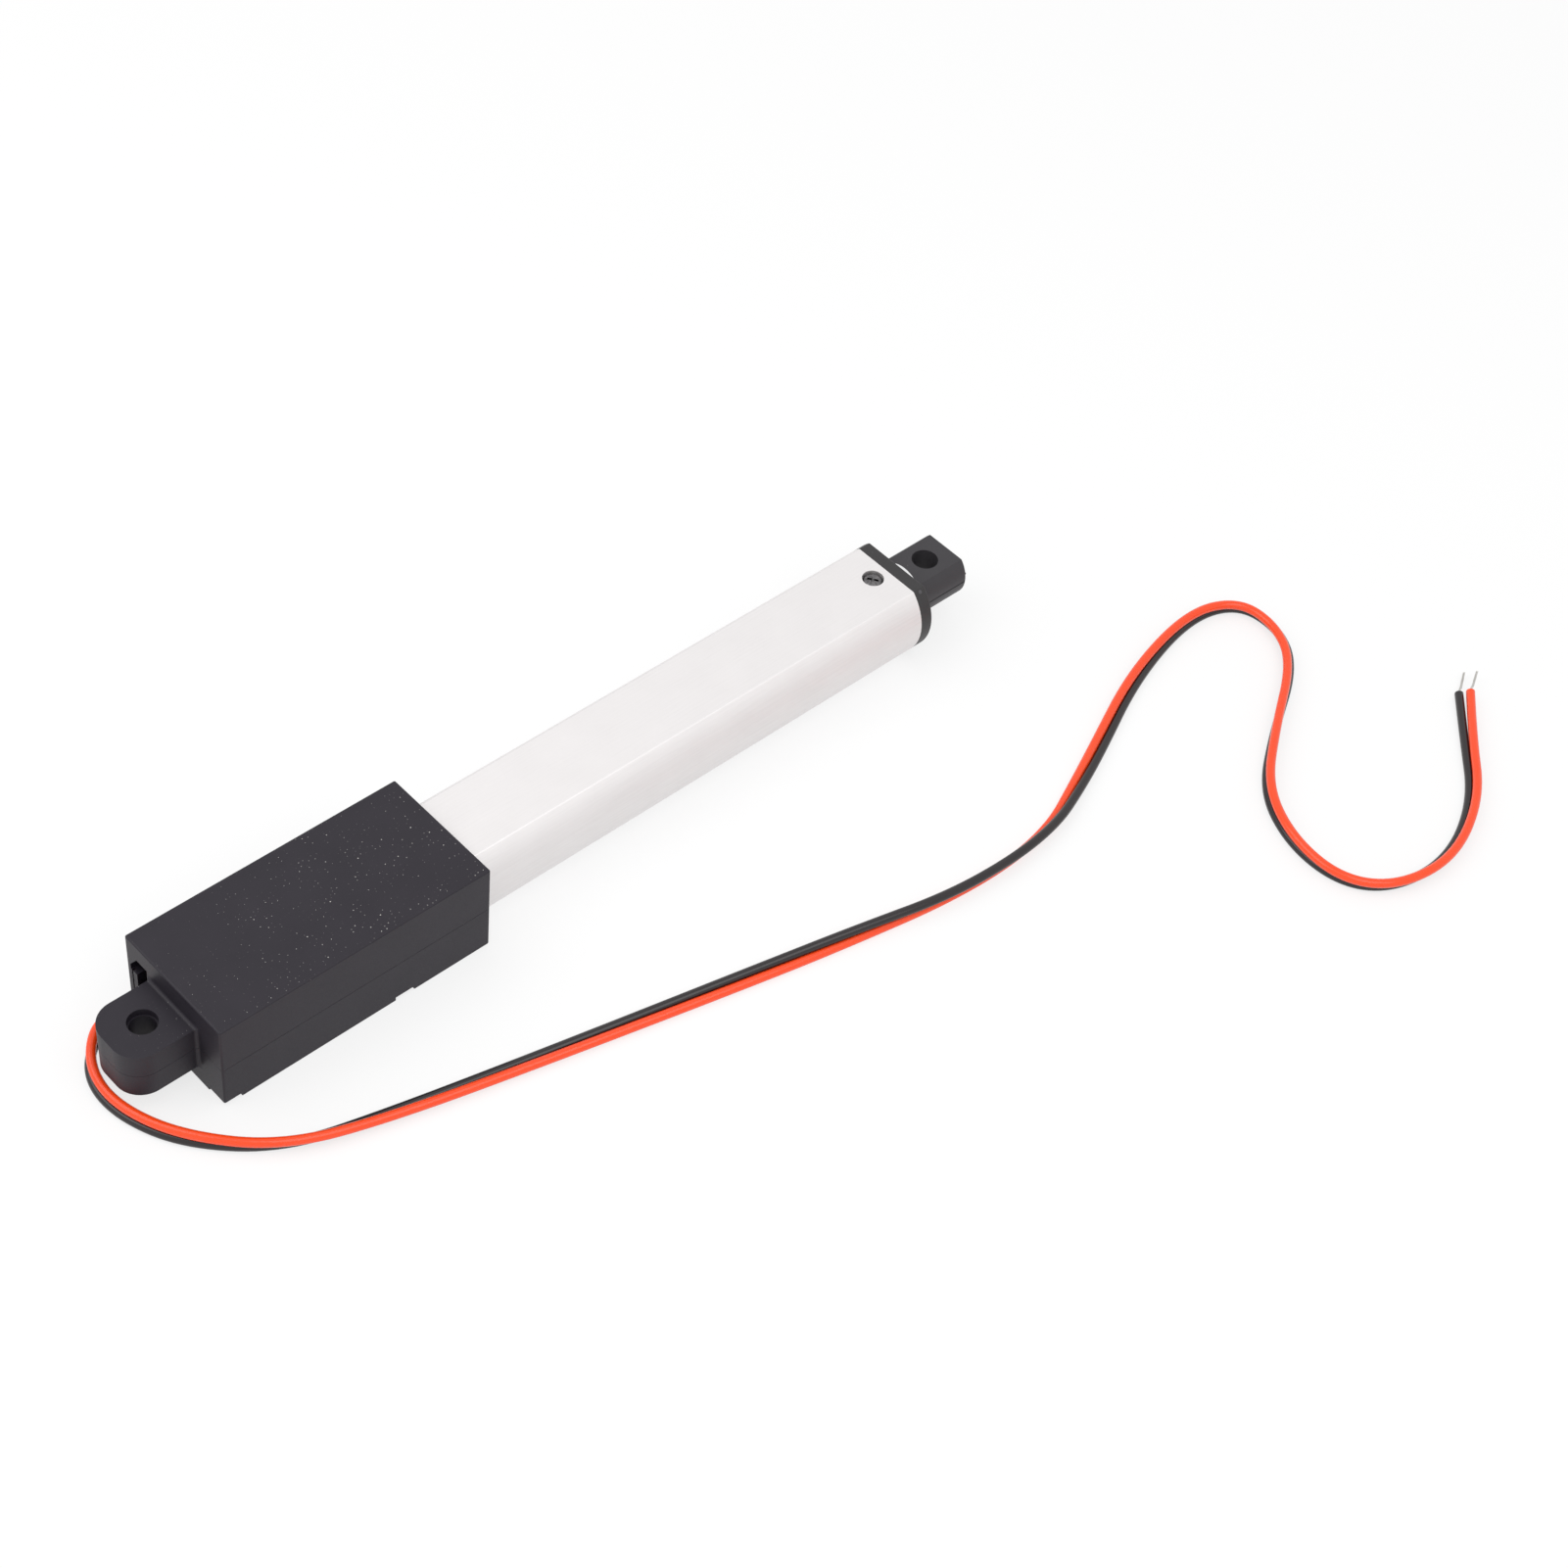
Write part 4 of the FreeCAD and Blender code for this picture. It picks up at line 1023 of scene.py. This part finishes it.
@dataclass
class LimitBoard(SubAssembly):
    """The narrow circuit board with its two limit switches and two diodes, in millimetres.

    Attributes:
        track_w: Width of a copper track.
        track_t: Its thickness.
        track_z: Heights of the three tracks at the switches.
        squeeze: Heights of the tracks at the rear end, as a share of those.
        track_in: Start of the tracks in front of the board's rear end.
        bend: Where the tracks spread, in front of the diodes' rear end.
        bend_l: Length over which they spread.
        pin_step: Distance of a switch's pins along the board.
        lead_in: Place of the leads' joints in front of the board's rear end.
        joint_r: Radius of a solder joint.
        joint_h: Its height.
        tab_x: Places along a diode's tinned end, out from its body.
        tab_y: Heights of its last two places above the board.
        tab_w: Half its width, as a share of the diode's.
        tab_t: Half its thickness.
        tab_tilt: Tilt of its upright part.
    """

    track_w: float = 0.5
    track_t: float = 0.035
    track_z: Point = (-2.0, 0.0, 2.0)
    squeeze: float = 0.8
    track_in: float = 0.6
    bend: float = 5.0
    bend_l: float = 1.2
    pin_step: float = 1.0
    lead_in: float = 0.8
    joint_r: float = 0.48
    joint_h: float = 0.24
    tab_x: tuple[float, ...] = (0.0, 0.12, 0.14, 0.6)
    tab_y: Span = (0.06, 0.04)
    tab_w: float = 0.4
    tab_t: float = 0.06
    tab_tilt: float = 0.3

    def build(self) -> None:
        """Dress the board and its parts, and add tracks, solder and diode ends."""
        self.dress(Finishes.LAMINATE, "limit_board")
        self.dress(Finishes.SWITCH, "rear_limit_switch", "front_limit_switch", "board_diodes")
        self.add("board_tracks", self.tracks(), Finishes.COPPER_TRACK, "board_laminate")
        self.add("board_solder", self.solder(), Finishes.SOLDER, "tinned_wire")
        self.add("diode_ends", self.diode_ends(), Finishes.SOLDER, "terminal_brass")

    def pins(self, switch: str) -> list[Span]:
        """Find a switch's pins.

        Args:
            switch: Node of the switch.

        Returns:
            Place of each pin along and up the board.
        """
        low, high = box_of(switch)
        middle = (low.x + high.x) / 2
        return [(middle + self.pin_step * k, z) for k, z in zip((-1, 0, 1), self.track_z)]

    def tracks(self) -> Shape:
        """Lay the copper tracks along the board's back.

        Returns:
            Their shape.
        """
        low, high = box_of("limit_board")
        bend = min(corners[0].x for corners in solids_of("board_diodes")) + self.bend
        shape = Shape()
        for end, z in self.pins("front_limit_switch"):
            stations = [(low.x + self.track_in, z * self.squeeze), (bend, z * self.squeeze),
                        (bend + self.bend_l, z), (end, z)]
            line = [mm(x, high.y, up) for x, up in stations]
            shape.strip(line, self.track_w * MM, mm(0.0, self.track_t, 0.0))
        return shape

    def solder(self) -> Shape:
        """Set the solder joints of the switches and of the leads.

        Returns:
            Their shape.
        """
        low, high = box_of("limit_board")
        spots = self.pins("rear_limit_switch") + self.pins("front_limit_switch")
        spots += [(low.x + self.lead_in, z * self.squeeze) for z in self.track_z]
        shape = Shape()
        facing = Matrix.Rotation(math.pi / 2, 4, "Z")
        for x, z in spots:
            shape.dome(Matrix.Translation(mm(x, high.y, z)) @ facing, self.joint_r, self.joint_h)
        return shape

    def diode_ends(self) -> Shape:
        """Bend the tinned ends of the diodes down to the board.

        Returns:
            Their shape.
        """
        board = box_of("limit_board")[1].y
        shape = Shape()
        for low, high in solids_of("board_diodes"):
            middle = (low + high) / 2
            edge = mm(0.0, 0.0, self.tab_w * (high.z - low.z))
            heights = [middle.y, middle.y] + [board + y for y in self.tab_y]
            for x, out in ((low.x, -1.0), (high.x, 1.0)):
                line = [mm(x + out * far, y, middle.z) for far, y in zip(self.tab_x, heights)]
                upright, flat = Vector((-out, self.tab_tilt, 0.0)), Vector((0.0, 1.0, 0.0))
                rings = []
                for point, normal in zip(line, (upright, upright, upright, flat)):
                    rise = normal.normalized() * self.tab_t * MM
                    rings.append(shape.ring([point - edge - rise, point + edge - rise,
                                             point + edge + rise, point - edge + rise]))
                shape.loft(rings, line[0], line[-1])
        return shape


class Side(Enum):
    """The two leads of the pair."""

    BLACK = -1.0
    RED = 1.0


@dataclass
class Leads(SubAssembly):
    """The bonded pair of leads, from the limit board out to its bare ends, in millimetres.

    Attributes:
        diameter: Of each lead.
        pitch: Between the two centres.
        end_pitch: Between them at the bare ends, where the pair is split.
        laid: Height of the lower lead's middle where it lies on the floor.
        start: First points of the pair: x, y, height of the lower lead, and twist in degrees.
        run: The points that lie on the floor: x, y and twist. No twist is side by side.
        smooth: Points of the smooth line for each of these.
        order: Order of the smooth line.
        facet_pairs: Pairs of facets beyond the first four round a lead.
        strip: Bare length at the end.
        strands: Strands round the middle one.
        strand_r: Radius of a strand.
        strand_sides: Facets round it.
        strand_gap: Distance of the outer strands from the middle one, in radii.
        strand_lay: Turn of the outer strands over their length, in radians.
        fray: Step between their spreads at the tip, in radii.
        sprays: Different spreads among the strands.
        uneven: Step between the strands' lengths.
        cuts: Different lengths among them.
        hidden: Length of the strands inside the lead.
        lean: Turn of the bare end off the lead's line, in degrees.
        lean_rate: How fast it leans, where 1 takes its whole length.
        steps: Steps along a strand.
        sharp: Angle in degrees from which a strand's edge stays sharp.
    """

    diameter: float = 1.5
    pitch: float = 1.5
    end_pitch: float = 1.9
    laid: float = -7.38
    start: tuple[tuple[float, float, float, float], ...] = (
        (9.2, 7.6, -3.2, 270), (4.6, 7.7, -3.3, 270), (1.6, 8.9, -4.7, 190), (-2.2, 9.6, -6.4, 104),
        (-6.9, 4.6, -7.15, 67),
    )
    run: tuple[Point, ...] = (
        (-7.4, -3.4, 74), (-3.1, -13.3, 80), (6.9, -22.9, 116), (22.0, -27.6, 152), (48.0, -33.8, 170),
        (82.0, -41.8, 208), (97.0, -45.3, 246), (112.0, -48.6, 286), (125.5, -49.5, 292),
        (136.0, -48.2, 312), (144.0, -45.1, 340), (152.8, -41.4, 370), (170.0, -33.7, 404),
        (187.5, -29.9, 440), (196.8, -33.0, 480), (197.6, -41.1, 490), (192.8, -48.6, 478),
        (178.8, -56.8, 446), (167.8, -64.4, 431), (162.7, -74.5, 448), (162.7, -84.8, 470),
        (168.8, -91.1, 478), (180.5, -92.7, 484), (193.6, -87.2, 490), (203.6, -77.5, 500),
        (211.2, -70.7, 515),
    )
    smooth: int = 10
    order: int = 3
    facet_pairs: int = 5
    strip: float = 5.6
    strands: int = 6
    strand_r: float = 0.07
    strand_sides: int = 7
    strand_gap: float = 1.9
    strand_lay: float = 3.4
    fray: float = 0.3
    sprays: int = 3
    uneven: float = 0.1
    cuts: int = 4
    hidden: float = 0.4
    lean: float = -13.0
    lean_rate: float = 3.0
    steps: int = 14
    sharp: float = 50.0

    def control_points(self, side: Side) -> list[Vector]:
        """Listed points of one lead, beside or above its twin as the twist says.

        Args:
            side: Which lead.

        Returns:
            The control points in metres.
        """
        route = [*self.start, *((x, y, self.laid, turn) for x, y, turn in self.run)]
        flat = [Vector(point[:2]) for point in route]
        last = len(route) - 1
        out = []
        for k, (x, y, low, turn) in enumerate(route):
            along = (flat[min(k + 1, last)] - flat[max(k - 1, 0)]).normalized()
            pitch = self.pitch if k < last else self.end_pitch
            aside = math.cos(math.radians(turn)) * side.value * pitch / 2
            lift = math.sin(math.radians(turn)) * side.value * pitch
            out.append(mm(x - along.y * aside, y + along.x * aside, low + max(lift, 0.0)))
        return out

    def line(self, side: Side, name: str, radius: float) -> bpy.types.Object:
        """Lay one smooth line along a lead's control points.

        Args:
            side: Which lead.
            name: Name of the line.
            radius: Of its round section in metres, nothing for a bare line.

        Returns:
            The curve object, in the scene.
        """
        data = bpy.data.curves.new(name, "CURVE")
        data.dimensions = "3D"
        data.resolution_u = self.smooth
        data.bevel_depth = radius
        data.bevel_resolution = self.facet_pairs
        data.use_fill_caps = True
        points = self.control_points(side)
        spline = data.splines.new("NURBS")
        spline.points.add(len(points) - 1)
        for spot, place in zip(spline.points, points):
            spot.co = (*place, 1.0)
        spline.order_u = self.order
        spline.use_endpoint_u = True
        spline.use_smooth = True
        return put_in_scene(name, data)

    def centre_line(self, side: Side) -> list[Vector]:
        """Read points from a lead's own smooth line.

        Args:
            side: Which lead.

        Returns:
            The points in order.
        """
        bare = self.line(side, "centre_line", 0.0)
        bpy.context.view_layer.update()
        mesh = bpy.data.meshes.new_from_object(bare)
        points = [vert.co.copy() for vert in mesh.vertices]
        bpy.data.meshes.remove(mesh)
        bpy.data.objects.remove(bare)
        return points

    def strand(self, k: int, end: Vector, along: Vector) -> list[Vector]:
        """Trace one bare strand past the end of a lead.

        Args:
            k: Number of the strand. The last one is in the middle.
            end: End of the lead.
            along: Its direction there.

        Returns:
            The strand's line.
        """
        bent = Matrix.Rotation(math.radians(self.lean), 3, "Z") @ along
        reach = self.strip + self.uneven * (k % self.cuts - (self.cuts - 1) / 2)
        spread = self.fray * (k % self.sprays)
        line = []
        for step in range(self.steps + 1):
            share = step / self.steps
            way = along.lerp(bent, min(1.0, self.lean_rate * share)).normalized()
            side = way.cross(Vector((0.0, 0.0, 1.0))).normalized()
            up = side.cross(way)
            turn = k / self.strands * math.tau + share * self.strand_lay
            out = self.strand_r * (self.strand_gap + spread * share) if k < self.strands else 0.0
            centre = end - along * (self.hidden * MM) + way * (reach * share * MM)
            line.append(centre + (side * math.cos(turn) + up * math.sin(turn)) * out * MM)
        return line

    def bare_end(self, points: list[Vector]) -> Shape:
        """Twist the bare strands past the end of a lead.

        Args:
            points: The lead's centre line.

        Returns:
            The shape of all strands.
        """
        along = (points[-1] - points[-3]).normalized()
        shape = Shape(self.sharp)
        for k in range(self.strands + 1):
            shape.wire(self.strand(k, points[-1], along), self.strand_r * MM, self.strand_sides)
        return shape

    def build(self) -> None:
        self.dress(Finishes.TINNED, "wire_tips")
        for side, finish in ((Side.BLACK, Finishes.BLACK_LEAD), (Side.RED, Finishes.RED_LEAD)):
            colour = side.name.lower()
            self.dress(finish, f"{colour}_wire")
            points = self.centre_line(side)
            lead = self.line(side, f"{colour}_lead", self.diameter / 2 * MM)
            lead.data.materials.append(finish.material())
            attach(lead, self.body)
            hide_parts(f"{colour}_wire")
            tip = self.add(f"{colour}_bare_end", self.bare_end(points), Finishes.TINNED,
                           "tinned_wire", "wire_tips")


@dataclass(frozen=True)
class Panel:
    """A square panel light.

    Attributes:
        name: Name of the lamp.
        place: Where it stands, in millimetres.
        size: Its side in metres.
        power: Its power in watts.
    """

    name: str
    place: Point
    size: float
    power: float

    def build(self, aim: Point) -> None:
        """Stand the lamp and point it.

        Args:
            aim: What it points at, in millimetres.
        """
        data = bpy.data.lights.new(self.name, "AREA")
        data.size = self.size
        data.energy = self.power
        lamp = put_in_scene(self.name, data)
        lamp.location = mm(*self.place)
        lamp.rotation_mode = "QUATERNION"
        lamp.rotation_quaternion = (mm(*aim) - mm(*self.place)).to_track_quat("-Z", "Y")
        log.info("lamp %s of %.2f W", self.name, self.power)


@dataclass
class Studio:
    """Pale floor, soft light and a white surround.

    Attributes:
        floor: Height of the floor in millimetres.
        floor_half: Half its side in metres.
        floor_colour: Its colour, linear.
        glow: Share of plain white that the eye sees in it, near the object and far off.
        fade: Distances from the origin between which that share grows, in metres.
        ambient: Light of the surround on matt surfaces.
        aim: What the lamps point at, in millimetres.
        panels: The lamps.
    """

    floor: float = -8.15
    floor_half: float = 6.0
    floor_colour: Point = (0.95, 0.95, 0.95)
    glow: Span = (0.74, 1.0)
    fade: Span = (0.4, 1.6)
    ambient: float = 0.74
    aim: Point = (80.0, -20.0, 0.0)
    panels: tuple[Panel, ...] = (
        Panel("key_panel", (-240.0, 210.0, 480.0), size=0.5, power=1.15),
        Panel("fill_panel", (40.0, -300.0, 520.0), size=0.45, power=0.95),
    )

    def build(self) -> None:
        """Make the floor, the surround and the lamps."""
        self._floor()
        self._surround()
        for panel in self.panels:
            panel.build(self.aim)

    def _floor(self) -> None:
        """Lay a wide pale sheet that keeps a soft shadow, and fades into the white surround far off."""
        half = self.floor_half
        around = ((-half, -half), (half, -half), (half, half), (-half, half))
        mesh = bpy.data.meshes.new("floor")
        mesh.from_pydata([(x, y, self.floor * MM) for x, y in around], [], [(0, 1, 2, 3)])
        made = bpy.data.materials.new("pale_floor")
        made.use_nodes = True
        made.node_tree.nodes.clear()
        mesh.materials.append(made)
        graph = Graph(made.node_tree)
        matt = graph.add("BsdfDiffuse", {"Color": opaque(self.floor_colour)})["BSDF"]
        white = graph.add("Emission", {"Color": WHITE, "Strength": 1.0})["Emission"]
        away = graph.add("VectorMath", {0: graph.add("NewGeometry", {})["Position"]}, operation="LENGTH")
        share = graph.spread(away["Value"], self.fade, self.glow, "SMOOTHSTEP")
        graph.close(graph.math("MULTIPLY", graph.seen(), share), matt, white, "OutputMaterial")
        sheet = put_in_scene("floor", mesh)

    def _surround(self) -> None:
        """Make it white all round to the eye and to mirrors, softer as a light."""
        world = bpy.data.worlds.new("surround")
        bpy.context.scene.world = world
        world.use_nodes = True
        world.node_tree.nodes.clear()
        graph = Graph(world.node_tree)
        skies = [graph.add("Background", {"Color": WHITE, "Strength": strength})["Background"]
                 for strength in (self.ambient, 1.0)]
        graph.close(graph.seen(), *skies, "OutputWorld")


@dataclass
class Viewpoint:
    """The camera where the photograph was taken.

    Attributes:
        place: Camera position in millimetres.
        azimuth: Compass angle of the camera round the object, in degrees.
        elevation: Its height above the horizon.
        roll: Its turn about the line of sight.
        focal: Focal length in pixels of an image this wide.
        image: Width of the image in pixels.
        sensor: Width of the sensor in millimetres.
        clip: Nearest and farthest distance that it sees, in metres.
    """

    place: Point = (-134.708, -234.078, 348.477)
    azimuth: float = -48.0458
    elevation: float = 47.4123
    roll: float = 7.2943
    focal: float = 3146.88
    image: float = 1601.0
    sensor: float = 36.0
    clip: Span = (0.01, 50.0)

    def build(self) -> None:
        """Make the camera and use it."""
        a, e, r = (math.radians(angle) for angle in (self.azimuth, self.elevation, self.roll))
        back = Vector((math.sin(a) * math.cos(e), -math.cos(a) * math.cos(e), math.sin(e)))
        level = Vector((math.cos(a), math.sin(a), 0.0))
        rise = back.cross(level)
        right = level * math.cos(r) + rise * math.sin(r)
        up = rise * math.cos(r) - level * math.sin(r)
        data = bpy.data.cameras.new("photo_camera")
        data.sensor_width = self.sensor
        data.lens = self.focal / self.image * self.sensor
        data.clip_start, data.clip_end = self.clip
        camera = put_in_scene("photo_camera", data)
        turn = Matrix((right, up, back)).transposed().to_4x4()
        camera.matrix_world = Matrix.Translation(mm(*self.place)) @ turn
        bpy.context.scene.camera = camera


def main() -> None:
    """Build and dress every sub-assembly, then set floor, light and camera."""
    logging.basicConfig(level=logging.INFO, format="%(name)s: %(message)s")
    bpy.context.scene.view_settings.view_transform = "Standard"
    for group in (Housing, TubeAndCap, PushRod, ScrewDrive, GearTrain, Motor, LimitBoard, Leads):
        group().build()
    Studio().build()
    Viewpoint().build()


if __name__ == "__main__":
    main()
